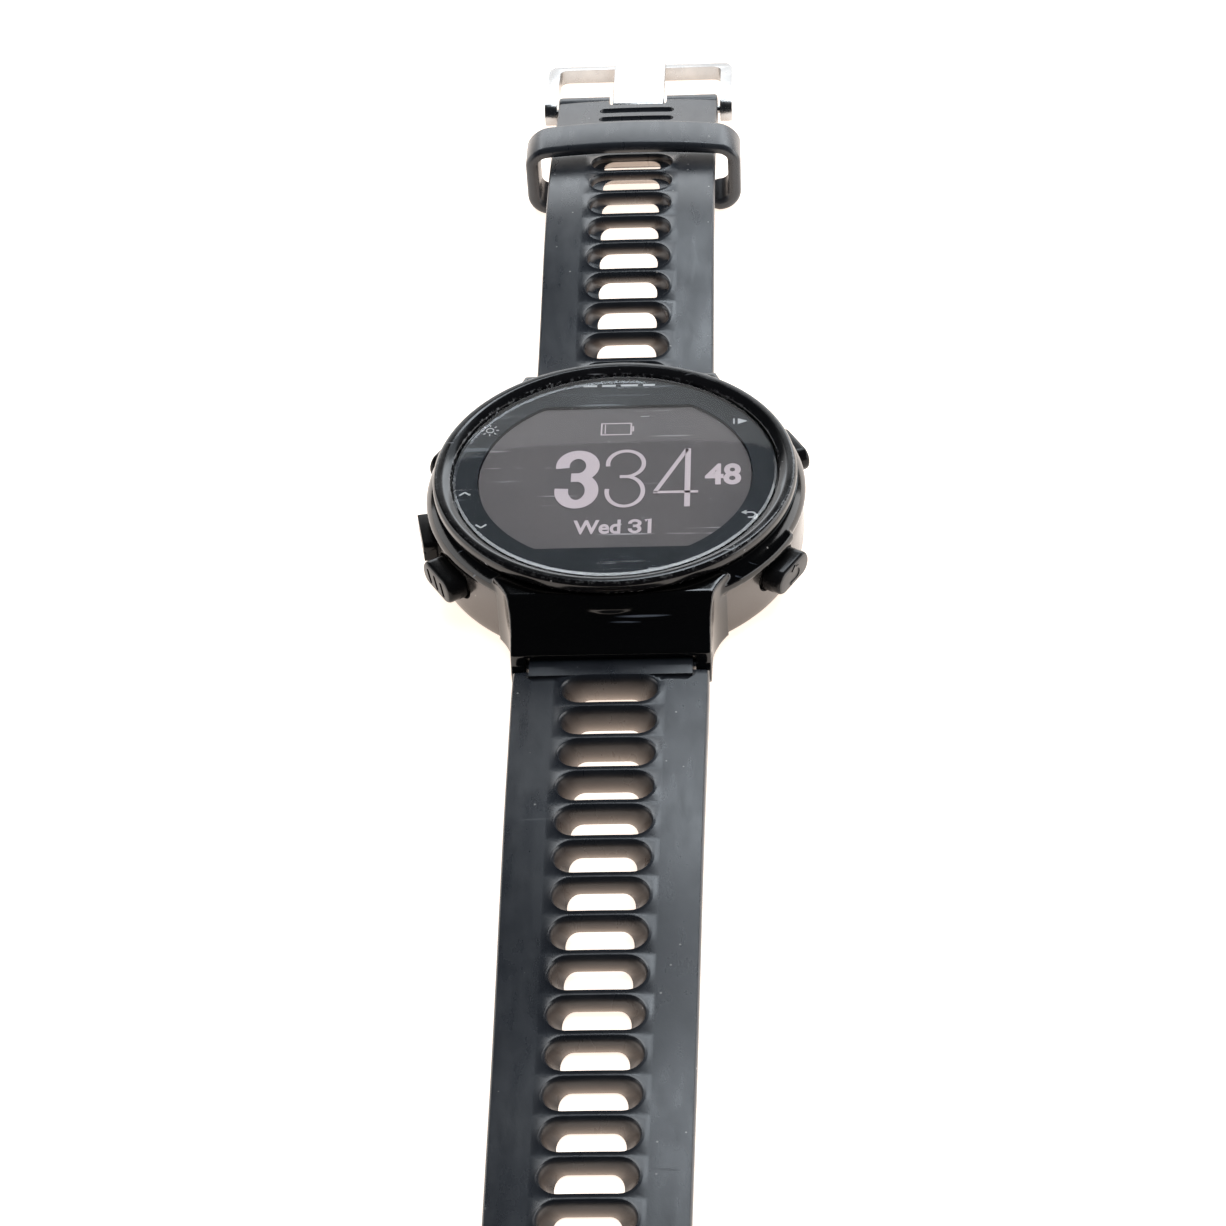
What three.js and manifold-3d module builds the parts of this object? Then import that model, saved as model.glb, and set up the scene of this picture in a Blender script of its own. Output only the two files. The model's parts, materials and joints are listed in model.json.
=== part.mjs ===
// A round GPS running watch laid out flat on a table, strap open.
// Millimetres. +Z points out of the display, +Y towards 12 o'clock and the buckle, +X towards 3 o'clock.
// The origin is on the axis of the case, in the plane that the watch lies on.

import * as THREE from 'three';
import { mergeVertices } from 'three/addons/utils/BufferGeometryUtils.js';
import Module from 'manifold-3d';

const wasm = await Module();
wasm.setup();

// ---------- driving dimensions ----------

const GAP = 0.15;                   // clearance between pieces that are fitted together
const RING_SIDES = 48;              // facets round the large rings
const PIN_SIDES = 10;               // facets round pins, bores and stems

const CASE = {
  wallRadius: 21.4,                 // outside of the lower case
  boreRadius: 18.9,                 // inside of both case halves
  backZ: 0.8,                       // underside of the back cover
  floorZ: 2.2,                      // underside of the lower case's wall
  splitZ: 7.9,                      // where the lower case meets the upper case
  seatZ: 10.2,                      // top of the upper case
  topZ: 11.9,                       // top of the bezel
  shoulderRadius: 22.2,             // the guards beside the buttons
};
const BEZEL = { outer: 20.75, crown: 19.6, inner: 18.65 };
const LENS_RADIUS = 18.45;
const SEAT_RADIUS = 17.2;               // the opening in the upper case that the lens rests over
const DISPLAY = { radius: 15.55, halfHeight: 13.02 };

const LUG = { pinY: 23.6, pinZ: 2.7, hornRadius: 2.1, halfWidth: 11.0, innerHalf: 9.3, lipY: 24.9 };
const PIN_RADIUS = 0.75;

const BUTTON = { z: 5.75, length: 6.5, height: 3.0, faceRadius: 23.6, backRadius: 20.9 };
const STEM = { radius: 0.6, hole: 0.9, inner: 17.7 };                       // a button's stem
const CLIP = { near: 18.0, far: 18.4, core: 0.42 };                         // the groove for its clip
const BUTTONS = { start: 28, light: 152, up: 191, down: 212, lap: 329 };    // degrees from 3 o'clock

const SCREW_CIRCLE = 17.3;
const SCREW_ANGLES = [45, 135, 225, 315];
const SCREW_BOSS = { outer: 1.8, bore: 0.75, top: 5.1 };

const STRAP = { halfWidth: 10.75, barrel: 1.9, slotPitch: 5.12, slotLength: 3.8, slotWidth: 10.0 };
const LONG_STRAP = { slots: 21, firstSlot: 29.5, tipStart: 133.6, tipY: 143, tipHalfWidth: 9.35 };
const SHORT_STRAP = { slots: 9, firstSlot: 28.6, archStart: 24, archSpan: 76, archRise: 4.8 };

const KEEPER = { y: 70.2, length: 6, halfWidth: 14, top: 10.8, wall: 1.6 };
const BUCKLE = { pivotY: 92, pivotZ: 2.2, barY: 104.3, barZ: 1.0, halfWidth: 12.7, armInner: 11.1 };
const PRONG = { halfWidth: 3.5, thickness: 1.4, tipY: 105.5 };

// ---------- shape helpers ----------

const radians = THREE.MathUtils.degToRad;

/** Turns a closed triangle mesh into a manifold solid whose faces point outwards. */
function toSolid(geometry) {
  const bare = geometry.clone();
  for (const name of Object.keys(bare.attributes)) {
    if (name !== 'position') bare.deleteAttribute(name);
  }
  const merged = mergeVertices(bare, 1e-4);
  const position = merged.attributes.position;
  const corners = [0, 1, 2].map(() => new THREE.Vector3());
  const triangles = [];
  let volume = 0;
  for (let i = 0; i < merged.index.count; i += 3) {
    const triangle = [0, 1, 2].map((k) => merged.index.getX(i + k));
    if (new Set(triangle).size < 3) continue;
    triangle.forEach((vertex, k) => corners[k].fromBufferAttribute(position, vertex));
    volume += corners[0].dot(corners[1].clone().cross(corners[2]));
    triangles.push(triangle);
  }
  const triVerts = Uint32Array.from(triangles.flatMap((t) => (volume < 0 ? t.toReversed() : t)));
  const vertProperties = Float32Array.from(position.array);
  return new wasm.Manifold(new wasm.Mesh({ numProp: 3, vertProperties, triVerts }));
}

function toGeometry(solid) {
  const { vertProperties, triVerts } = solid.getMesh();
  const geometry = new THREE.BufferGeometry();
  geometry.setAttribute('position', new THREE.BufferAttribute(vertProperties, 3));
  geometry.setIndex(new THREE.BufferAttribute(triVerts, 1));
  return geometry;
}

const join = (first, ...others) => others.reduce((sum, other) => sum.add(other), first);
const cut = (first, ...tools) => tools.reduce((rest, tool) => rest.subtract(tool), first);

/** A solid turned about the Z axis, from [radius, z] points that start and end on the axis. */
function turned(profile, sides = RING_SIDES) {
  const points = profile.map(([r, z]) => new THREE.Vector2(r, z));
  return toSolid(new THREE.LatheGeometry(points, sides).rotateX(Math.PI / 2));
}

/** A ring turned about the Z axis, from a closed loop of [radius, z] points. */
const ring = (loop, sides) => turned([...loop, loop[0]], sides);

/** A ring of rectangular section. */
function washer(inner, outer, bottom, top, sides) {
  return ring([[inner, bottom], [outer, bottom], [outer, top], [inner, top]], sides);
}

/** A round bar along Z from bottom to top, at (x, y). */
function post(radius, bottom, top, x = 0, y = 0, sides = PIN_SIDES) {
  const bar = new THREE.CylinderGeometry(radius, radius, top - bottom, sides).rotateX(Math.PI / 2);
  return toSolid(bar.translate(x, y, (bottom + top) / 2));
}

/** A round bar along X from x0 to x1, through (y, z). */
function barX(radius, x0, x1, y, z, sides = PIN_SIDES) {
  const bar = new THREE.CylinderGeometry(radius, radius, x1 - x0, sides).rotateZ(Math.PI / 2);
  return toSolid(bar.translate((x0 + x1) / 2, y, z));
}

function box(x0, x1, y0, y1, z0, z1) {
  const block = new THREE.BoxGeometry(x1 - x0, y1 - y0, z1 - z0);
  return toSolid(block.translate((x0 + x1) / 2, (y0 + y1) / 2, (z0 + z1) / 2));
}

function extrude(shape, depth, curveSegments = 3) {
  return new THREE.ExtrudeGeometry(shape, { depth, bevelEnabled: false, curveSegments });
}

/** A plate whose outline lies in the XY plane. */
function plate(shape, bottom, top, curveSegments) {
  return toSolid(extrude(shape, top - bottom, curveSegments).translate(0, 0, bottom));
}

/** A bar along X whose section is drawn in the YZ plane. */
function alongX(shape, x0, x1, curveSegments) {
  const turn = new THREE.Matrix4().makeBasis(
    new THREE.Vector3(0, 1, 0), new THREE.Vector3(0, 0, 1), new THREE.Vector3(1, 0, 0));
  return toSolid(extrude(shape, x1 - x0, curveSegments).applyMatrix4(turn).translate(x0, 0, 0));
}

/** A bar along Y whose section is drawn in the XZ plane. */
function alongY(shape, y0, y1) {
  return toSolid(extrude(shape, y1 - y0).rotateX(Math.PI / 2).translate(0, y1, 0));
}

const polygon = (points) => new THREE.Shape(points.map(([x, y]) => new THREE.Vector2(x, y)));

/** A rectangle with rounded corners, centred on (x, y). */
function roundedRectangle(width, height, radius, x = 0, y = 0) {
  const [halfX, halfY] = [width / 2 - radius, height / 2 - radius];
  const shape = new THREE.Shape();
  shape.absarc(x + halfX, y + halfY, radius, 0, Math.PI / 2);
  shape.absarc(x - halfX, y + halfY, radius, Math.PI / 2, Math.PI);
  shape.absarc(x - halfX, y - halfY, radius, Math.PI, Math.PI * 1.5);
  shape.absarc(x + halfX, y - halfY, radius, Math.PI * 1.5, Math.PI * 2);
  return shape;
}

/** A long hole with round ends: length along X, width across. */
function stadium(length, width, x = 0, y = 0) {
  const half = (length - width) / 2;
  const shape = new THREE.Shape();
  shape.absarc(x + half, y, width / 2, -Math.PI / 2, Math.PI / 2);
  shape.absarc(x - half, y, width / 2, Math.PI / 2, Math.PI * 1.5);
  return shape;
}

/** Part of a flat ring, between two angles in degrees. */
function sector(inner, outer, from, to) {
  const shape = new THREE.Shape();
  shape.absarc(0, 0, outer, radians(from), radians(to), false);
  shape.absarc(0, 0, inner, radians(to), radians(from), true);
  return shape;
}

/** The outline of the display: a circle with flats above and below. */
function displayOutline(margin) {
  const radius = DISPLAY.radius + margin;
  const halfHeight = DISPLAY.halfHeight + margin;
  const corner = Math.asin(halfHeight / radius);
  const shape = new THREE.Shape();
  shape.absarc(0, 0, radius, -corner, corner);
  shape.absarc(0, 0, radius, Math.PI - corner, Math.PI + corner);
  return shape;
}

/** Turns a solid about the case's axis. */
const spin = (solid, degrees) => solid.rotate([0, 0, degrees]);

const polar = (radius, degrees) => [
  radius * Math.cos(radians(degrees)), radius * Math.sin(radians(degrees)),
];

// ---------- finishes ----------

const finish = (color, roughness, metalness = 0) => ({ color, roughness, metalness });
const FINISHES = {
  shell: finish(0x101011, 0.22),
  innerShell: finish(0x2b2927, 0.3),
  glass: finish(0x3c4042, 0.08),
  print: finish(0x3a3d3f, 0.6),
  panel: finish(0x62605f, 0.45),
  rubber: finish(0x3a3d41, 0.7),
  seal: finish(0x1b1b1c, 0.8),
  steel: finish(0xc9c9cb, 0.25, 1),
  gold: finish(0xc9a24b, 0.3, 1),
  board: finish(0x1f4a34, 0.6),
  pouch: finish(0x9aa0a6, 0.35, 0.6),
  ceramic: finish(0xb9b4a8, 0.6),
  clear: finish(0xe2e6e8, 0.2),
};

const watch = new THREE.Group();

/** Adds one named piece to a group. */
function add(name, solid, look, group = watch) {
  const mesh = new THREE.Mesh(toGeometry(solid), new THREE.MeshStandardMaterial(FINISHES[look]));
  mesh.name = name;
  group.add(mesh);
}

// ---------- case ----------

/** The room that one button needs in the lower case, for a button at 3 o'clock. */
function buttonRoom() {
  const outline = stadium(BUTTON.length + 0.6, BUTTON.height + 0.5, 0, BUTTON.z);
  const pocket = spin(alongY(outline, -24.5, -20.2), 90);
  const sealSeat = barX(1.75, 19.2, 20.4, 0, BUTTON.z);
  const stemHole = barX(STEM.hole, CLIP.near, 19.5, 0, BUTTON.z);
  return join(pocket, sealSeat, stemHole);
}

function lowerCase() {
  const wall = ring([
    [CASE.boreRadius, CASE.floorZ], [19.1, CASE.floorZ], [19.1, 2.65], [20.1, 2.65],
    [20.1, CASE.floorZ], [20.65, CASE.floorZ], [20.65, 1.3], [21.0, 1.3], [21.25, 1.6],
    [CASE.wallRadius, 3.2], [CASE.wallRadius, 6.4], [21.25, CASE.splitZ],
    [CASE.boreRadius, CASE.splitZ],
  ]);
  const bosses = SCREW_ANGLES.map((angle) => {
    const [x, y] = polar(SCREW_CIRCLE, angle);
    return post(SCREW_BOSS.outer, CASE.floorZ, SCREW_BOSS.top, x, y);
  });
  const screwHoles = SCREW_ANGLES.map((angle) => {
    const [x, y] = polar(SCREW_CIRCLE, angle);
    return post(SCREW_BOSS.bore, 1, SCREW_BOSS.top - 0.3, x, y);
  });
  const rooms = Object.values(BUTTONS).map((angle) => spin(buttonRoom(), angle));
  return cut(join(wall, ...bosses), ...screwHoles, ...rooms);
}

/** One lug, at 12 o'clock: the sloping bridge and the two horns that hold the pin. */
function lug() {
  const side = new THREE.Shape();
  side.moveTo(17, CASE.seatZ);
  side.lineTo(20.3, CASE.seatZ);
  side.bezierCurveTo(21.6, 9.2, 22.0, 7.0, LUG.lipY, 5.5);
  side.absarc(LUG.pinY, LUG.pinZ, LUG.hornRadius, radians(40), radians(-90), true);
  side.lineTo(21.0, 1.3);
  side.lineTo(17, 1.3);

  const plan = new THREE.Shape();
  plan.moveTo(-14.6, 15);
  plan.lineTo(14.6, 15);
  plan.bezierCurveTo(12.2, 18, LUG.halfWidth, 20, LUG.halfWidth, 23);
  plan.lineTo(LUG.halfWidth, 26.5);
  plan.lineTo(-LUG.halfWidth, 26.5);
  plan.lineTo(-LUG.halfWidth, 23);
  plan.bezierCurveTo(-LUG.halfWidth, 20, -12.2, 18, -14.6, 15);

  const body = alongX(side, -15, 15, 6).intersect(plate(plan, 0, 11, 5));
  const cavityRadius = STRAP.barrel + 0.3;
  const room = join(
    barX(cavityRadius, -LUG.innerHalf, LUG.innerHalf, LUG.pinY, LUG.pinZ, 16),
    box(-LUG.innerHalf, LUG.innerHalf, LUG.pinY - cavityRadius, 28, -1, LUG.pinZ),
    box(-LUG.innerHalf, LUG.innerHalf, LUG.pinY, 28, -1, LUG.pinZ + cavityRadius),
  );
  const pinHole = barX(PIN_RADIUS + GAP, -12, 12, LUG.pinY, LUG.pinZ);
  const heads = [barX(1.25, -12, -10.1, LUG.pinY, LUG.pinZ), barX(1.25, 10.1, 12, LUG.pinY, LUG.pinZ)];
  return cut(body, room, pinHole, ...heads);
}

function upperCase() {
  const bottom = CASE.splitZ + GAP;
  const ledge = 9.5;
  const wall = ring([
    [CASE.boreRadius, bottom], [21.5, bottom], [21.7, 8.5], [21.3, 9.4], [20.5, CASE.seatZ],
    [SEAT_RADIUS, CASE.seatZ], [SEAT_RADIUS, ledge], [CASE.boreRadius, ledge],
  ]);
  const shoulders = [[-24, 20], [158, 224]].map(([from, to]) => {
    const guard = sector(20, CASE.shoulderRadius, from, to);
    return plate(guard, bottom, 9.3, 5);
  });
  const lugs = [lug(), spin(lug(), 180)];
  const lowerCaseRoom = post(CASE.wallRadius + GAP, -1, bottom, 0, 0, RING_SIDES);
  const interior = join(
    post(CASE.boreRadius, 0, ledge, 0, 0, RING_SIDES),
    post(SEAT_RADIUS, ledge - 0.5, CASE.topZ + 0.1, 0, 0, RING_SIDES));
  return cut(join(wall, ...shoulders, ...lugs.map((part) => cut(part, lowerCaseRoom))), interior);
}

function buildCase() {
  add('upper_case', upperCase(), 'shell');
  add('lower_case', lowerCase(), 'innerShell');
  add('bezel_ring', ring([
    [BEZEL.inner, 10.35], [20.5, 10.35], [BEZEL.outer, 10.8], [20.7, 11.6], [20.4, CASE.topZ],
    [BEZEL.crown, CASE.topZ], [BEZEL.inner, 11.35],
  ]), 'shell');
  add('lens', turned([
    [0, 10.6], [18.3, 10.6], [LENS_RADIUS, 10.75], [LENS_RADIUS, 11.2], [18.2, 11.4], [0, 11.55],
  ]), 'glass');
  const maskHole = plate(displayOutline(0.1), 10, 11, 6);
  add('lens_mask', cut(post(18.3, 10.4, 10.55, 0, 0, RING_SIDES), maskHole), 'print');
  add('lens_gasket', washer(17.5, 18.2, 10.22, 10.36), 'seal');
}

function buildBack() {
  const holes = SCREW_ANGLES.flatMap((angle) => {
    const [x, y] = polar(SCREW_CIRCLE, angle);
    return [post(0.8, 0, 3, x, y), post(1.3, 0, 1.35, x, y)];
  });
  const contactsX = [-3.9, -1.3, 1.3, 3.9];
  const contactY = -13.6;
  const contactHoles = contactsX.map((x) => post(0.9, 0, 3, x, contactY));
  const cover = ring([
    [7.4, CASE.backZ], [19.9, CASE.backZ], [20.4, 1.2], [20.4, 1.9], [7.4, 1.9],
  ]);
  add('back_cover', cut(cover, ...holes, ...contactHoles), 'shell');
  add('back_gasket', washer(19.3, 19.9, 2.0, 2.5), 'seal');
  add('sensor_window', turned([
    [0, 0], [5.6, 0], [6.6, 0.35], [7.1, 0.9], [7.1, 1.7], [0, 1.7],
  ], 36), 'glass');
  const chips = [-3.2, 0, 3.2].map((x) => box(x - 0.8, x + 0.8, -1, 1, 1.85, 2.2));
  add('sensor_board', join(post(6.6, 2.15, 2.7, 0, 0, 24), ...chips), 'board');
  contactsX.forEach((x, i) => add(`charge_contact_${i + 1}`, post(0.7, 0.85, 2.6, x, contactY), 'gold'));
  SCREW_ANGLES.forEach((angle, i) => {
    const [x, y] = polar(SCREW_CIRCLE, angle);
    const screw = join(post(1.1, 0.9, 1.25, x, y), post(0.55, 1.1, 4.5, x, y));
    const socket = post(0.4, 0.5, 1.15, x, y, 6);
    add(`back_screw_${i + 1}`, cut(screw, socket), 'steel');
  });
}

// ---------- inside the case ----------

function buildElectronics() {
  add('display_panel', plate(displayOutline(0), 9.25, 10.2, 6), 'panel');
  add('light_guide', plate(displayOutline(-0.2), 8.55, 9.1, 6), 'clear');
  const pocket = plate(displayOutline(0.25), 8.4, 11, 6);
  const flexSlot = box(-4.3, 4.3, -17, -13.2, 7, 11);
  add('display_tray', cut(post(16.9, 7.9, 10.15, 0, 0, RING_SIDES), pocket, flexSlot), 'innerShell');

  const ribbon = polygon([
    [-12.2, 9.1], [-14.2, 9.1], [-14.7, 8.6], [-14.7, 6.9], [-14.2, 6.4], [-12.6, 6.4],
    [-12.6, 6.2], [-14.3, 6.2], [-14.9, 6.8], [-14.9, 8.7], [-14.3, 9.22], [-12.2, 9.22],
  ]);
  const ribbonBelowPanel = box(-5, 5, -13.25, -10, 7, 11);
  add('display_ribbon', cut(alongX(ribbon, -4, 4), ribbonBelowPanel), 'gold');

  const notches = Object.values(BUTTONS).map((angle) => spin(box(14.2, 18, -2.25, 2.25, 4, 8), angle));
  add('main_board', cut(post(16.5, 5.35, 5.95, 0, 0, RING_SIDES), ...notches), 'board');
  add('board_shield', plate(roundedRectangle(15, 11, 1, -1.5, 3.5), 6.1, 7.6), 'steel');
  add('gps_antenna', plate(sector(17.2, 18.6, 50, 130), 8.1, 9.3, 5), 'ceramic');
  add('battery', plate(roundedRectangle(21, 18, 1.5, -4, 0), 2.95, 5.1), 'pouch');
  add('vibration_motor', post(3.9, 2.6, 5.0, 12.3, -4.2, 24), 'steel');
  add('beeper', post(3.7, 2.6, 3.8, 12.2, 4.6, 24), 'gold');
}

// ---------- buttons ----------

/** Builds one button at 3 o'clock inside a group that is then turned to its place. */
function buildButton(name, angle) {
  const group = new THREE.Group();
  group.rotation.z = radians(angle);
  watch.add(group);

  const outline = stadium(BUTTON.length, BUTTON.height, 0, BUTTON.z);
  const crownOutline = stadium(BUTTON.length - 0.9, BUTTON.height - 0.9, 0, BUTTON.z);
  const body = spin(alongY(outline, -(BUTTON.faceRadius - 0.5), -BUTTON.backRadius), 90);
  const crown = spin(alongY(crownOutline, -BUTTON.faceRadius, -(BUTTON.faceRadius - 0.6)), 90);
  const stem = barX(STEM.radius, STEM.inner, BUTTON.backRadius + 0.2, 0, BUTTON.z);
  const clipGroove = cut(
    barX(1.0, CLIP.near, CLIP.far, 0, BUTTON.z),
    barX(CLIP.core, CLIP.near - 0.1, CLIP.far + 0.1, 0, BUTTON.z));
  add(`${name}_button`, cut(join(body, crown, stem), clipGroove), 'shell', group);

  const sealHole = barX(0.8, 19, 20.5, 0, BUTTON.z);
  add(`${name}_button_seal`, cut(barX(1.55, 19.4, 20.0, 0, BUTTON.z), sealHole), 'seal', group);

  const clipOpening = box(18, 19, -0.35, 0.35, BUTTON.z - 2, BUTTON.z);
  const clip = cut(
    barX(1.3, 18.1, 18.3, 0, BUTTON.z), barX(0.5, 18, 18.5, 0, BUTTON.z), clipOpening);
  add(`${name}_button_clip`, clip, 'steel', group);

  const housing = box(14.5, 16.6, -1.9, 1.9, BUTTON.z - 0.6, BUTTON.z + 1.1);
  add(`${name}_switch`, join(housing, barX(0.5, 16.4, 16.95, 0, BUTTON.z)), 'steel', group);
}

// ---------- straps ----------

/** Height of the short strap's top at a distance from the case's axis: one gentle arch. */
function shortTop(distance) {
  const turn = Math.PI * (distance - SHORT_STRAP.archStart) / SHORT_STRAP.archSpan;
  return 4.0 + SHORT_STRAP.archRise * Math.sin(turn) ** 2;
}

function shortThickness(distance) {
  const nearLug = THREE.MathUtils.smoothstep(distance, 26, 42);
  const nearBuckle = THREE.MathUtils.smoothstep(distance, 78, 91);
  return 3.2 - 0.9 * nearLug + 1.4 * nearBuckle;
}

/** Height of the long strap's top: it leaves the lug level and comes down onto the table. */
function longTop(distance) {
  return 4.4 - 2.3 * THREE.MathUtils.smoothstep(distance, 44, 86);
}

const longThickness = (distance) => 3.3 - 1.2 * THREE.MathUtils.smoothstep(distance, 28, 62);

/** The side view of a strap that is pinned at the lug: its barrel, top and underside. */
function strapSide(top, thickness, end, steps) {
  const [first, { pinY, pinZ }] = [26.2, LUG];
  const at = (i) => first + (end - first) * i / steps;
  const shape = new THREE.Shape();
  shape.absarc(pinY, pinZ, STRAP.barrel, radians(-80), radians(70), true);
  for (let i = 0; i <= steps; i += 1) shape.lineTo(at(i), top(at(i)));
  for (let i = steps; i >= 0; i -= 1) shape.lineTo(at(i), Math.max(0, top(at(i)) - thickness(at(i))));
  return shape;
}

/** What both straps share: the room for the horns, the pin's bore and the row of slots. */
function trimStrap(strap, first, slots, taper) {
  const horns = [[-12, -9.0], [9.0, 12]].map(([x0, x1]) => join(
    barX(LUG.hornRadius + 0.35, x0, x1, LUG.pinY, LUG.pinZ, 20),
    box(x0, x1, 18, LUG.pinY, -1, 6),
  ));
  const bore = barX(PIN_RADIUS + 0.2, -12, 12, LUG.pinY, LUG.pinZ);
  const holes = Array.from({ length: slots }, (_, i) => {
    const y = first + STRAP.slotPitch * i;
    return plate(stadium(STRAP.slotWidth - taper * i, STRAP.slotLength, 0, y), -2, 12);
  });
  return cut(strap, ...horns, bore, ...holes);
}

function shortStrap() {
  const body = alongX(strapSide(shortTop, shortThickness, 91, 16), -STRAP.halfWidth, STRAP.halfWidth);
  const end = barX(2.1, -STRAP.halfWidth, STRAP.halfWidth, BUCKLE.pivotY, BUCKLE.pivotZ, 20);
  const notch = box(-3.9, 3.9, BUCKLE.pivotY - 2.3, 96, -1, 8);
  const bore = barX(0.9, -12, 12, BUCKLE.pivotY, BUCKLE.pivotZ);
  const grooves = [[5.3, 80.4], [10, 83.4], [10, 86.4]].map(([length, y]) => {
    return plate(stadium(length, 1), shortTop(y) - 0.6, 12).translate([0, y, 0]);
  });
  const strap = cut(join(body, end), notch, bore, ...grooves);
  return trimStrap(strap, SHORT_STRAP.firstSlot, SHORT_STRAP.slots, 0);
}

/** Built towards +Y like the short strap, then turned to 6 o'clock. */
function longStrap() {
  const { tipStart, tipY, tipHalfWidth } = LONG_STRAP;
  const body = alongX(strapSide(longTop, longThickness, tipY + 1, 22), -12, 12);
  const plan = new THREE.Shape();
  plan.moveTo(-STRAP.halfWidth, 20);
  plan.lineTo(STRAP.halfWidth, 20);
  plan.lineTo(STRAP.halfWidth, 30);
  plan.lineTo(tipHalfWidth, tipStart);
  plan.absellipse(0, tipStart, tipHalfWidth, tipY - tipStart, 0, Math.PI, false);
  plan.lineTo(-STRAP.halfWidth, 30);
  const outline = plate(plan, -1, 8, 5);
  return spin(trimStrap(body.intersect(outline), LONG_STRAP.firstSlot, LONG_STRAP.slots, 0.05), 180);
}

function buildStraps() {
  add('short_strap', shortStrap(), 'rubber');
  add('long_strap', longStrap(), 'rubber');

  const { y, length, halfWidth, top, wall } = KEEPER;
  const outside = roundedRectangle(2 * halfWidth, top, 2.6, 0, top / 2);
  const inside = roundedRectangle(2 * (halfWidth - wall), top - 2 * wall, 1.2, 0, top / 2);
  add('strap_keeper', cut(alongY(outside, y, y + length), alongY(inside, y - 1, y + length + 1)), 'rubber');

  [1, -1].forEach((end) => {
    const place = end > 0 ? 'top' : 'bottom';
    const y0 = LUG.pinY * end;
    const bores = [barX(0.55, -11, -8.2, y0, LUG.pinZ), barX(0.55, 8.2, 11, y0, LUG.pinZ)];
    add(`${place}_lug_pin`, cut(barX(PIN_RADIUS, -10, 10, y0, LUG.pinZ), ...bores), 'steel');
    [-1, 1].forEach((side) => {
      const bar = (radius, from, to) => {
        const [x0, x1] = side > 0 ? [from, to] : [-to, -from];
        return barX(radius, x0, x1, y0, LUG.pinZ);
      };
      const screw = cut(join(bar(1.05, 10.25, 10.85), bar(0.4, 8.5, 10.4)), bar(0.35, 10.6, 11));
      add(`${place}_lug_screw_${side > 0 ? 'right' : 'left'}`, screw, 'steel');
    });
  });
}

function buildBuckle() {
  const { pivotY, pivotZ, barY, barZ, halfWidth, armInner } = BUCKLE;
  const fall = Math.atan2(pivotZ - barZ, barY - pivotY);
  const arm = new THREE.Shape();
  arm.absarc(pivotY, pivotZ, 1.6, Math.PI / 2 - fall, Math.PI * 1.5 - fall);
  arm.absarc(barY, barZ, 1, -Math.PI / 2 - fall, Math.PI / 2 - fall);
  const arms = [alongX(arm, -halfWidth, -armInner), alongX(arm, armInner, halfWidth)];
  const bar = barX(1, -halfWidth, halfWidth, barY, barZ, 16);
  const sockets = barX(0.65, -12.3, 12.3, pivotY, pivotZ);
  const corners = roundedRectangle(2 * halfWidth, 2 * (barY + 1 - pivotY + 3), 2.6, 0, pivotY - 3);
  const frame = cut(join(bar, ...arms), sockets).intersect(plate(corners, -1, 6));
  add('buckle_frame', frame, 'steel');

  const prong = new THREE.Shape();
  const top = pivotZ + 1.5;
  prong.absarc(pivotY, pivotZ, 1.5, Math.PI / 2, Math.PI * 1.5 + 0.9);
  prong.lineTo(pivotY + 2, top - PRONG.thickness);
  prong.lineTo(PRONG.tipY, 2 + GAP);
  prong.lineTo(PRONG.tipY + 0.3, 2.6);
  prong.lineTo(PRONG.tipY - 0.3, 2 + GAP + PRONG.thickness);
  const prongBore = barX(0.85, -5, 5, pivotY, pivotZ);
  add('buckle_prong', cut(alongX(prong, -PRONG.halfWidth, PRONG.halfWidth), prongBore), 'steel');

  add('buckle_spring_bar', join(
    barX(0.7, -10.6, 10.6, pivotY, pivotZ), barX(0.5, -12.1, 12.1, pivotY, pivotZ)), 'steel');
}

buildCase();
buildBack();
buildElectronics();
Object.entries(BUTTONS).forEach(([name, angle]) => buildButton(name, angle));
buildStraps();
buildBuckle();

export default watch;
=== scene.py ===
"""A round GPS running watch laid out flat on its open rubber strap.

Sizes are in millimetres and become metres where a mesh is made. +Z leaves the display, +Y points
to 12 o'clock and the buckle, and +X to 3 o'clock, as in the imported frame.
"""

import json
import logging
import math
from collections.abc import Callable, Iterator, Sequence
from contextlib import contextmanager
from dataclasses import dataclass, field
from enum import Enum

import bmesh
import bpy
from mathutils import Matrix, Vector


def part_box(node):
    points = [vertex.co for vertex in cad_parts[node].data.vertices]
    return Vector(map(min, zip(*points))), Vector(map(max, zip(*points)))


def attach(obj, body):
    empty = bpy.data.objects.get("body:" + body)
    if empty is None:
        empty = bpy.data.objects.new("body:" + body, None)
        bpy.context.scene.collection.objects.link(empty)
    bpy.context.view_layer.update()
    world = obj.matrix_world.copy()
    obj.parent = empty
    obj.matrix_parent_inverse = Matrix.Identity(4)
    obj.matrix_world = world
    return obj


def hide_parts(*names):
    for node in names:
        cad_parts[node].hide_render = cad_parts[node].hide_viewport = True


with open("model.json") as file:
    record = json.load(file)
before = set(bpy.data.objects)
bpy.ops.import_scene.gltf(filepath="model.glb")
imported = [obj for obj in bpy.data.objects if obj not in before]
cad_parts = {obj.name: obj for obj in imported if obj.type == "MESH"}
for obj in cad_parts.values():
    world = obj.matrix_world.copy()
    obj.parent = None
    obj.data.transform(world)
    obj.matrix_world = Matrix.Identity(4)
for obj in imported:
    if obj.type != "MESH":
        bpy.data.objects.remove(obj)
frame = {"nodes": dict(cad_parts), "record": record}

log = logging.getLogger("watch")
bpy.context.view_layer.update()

MM = 0.001
MERGE = 0.002
TURN = 2 * math.pi
Point = tuple[float, float]
Colour = tuple[float, float, float]
Piece = bpy.types.Object
Socket = bpy.types.NodeSocket


def mm(x: float, y: float, z: float) -> Vector:
    """A point given in millimetres, in metres."""
    return Vector((x, y, z)) * MM


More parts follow.
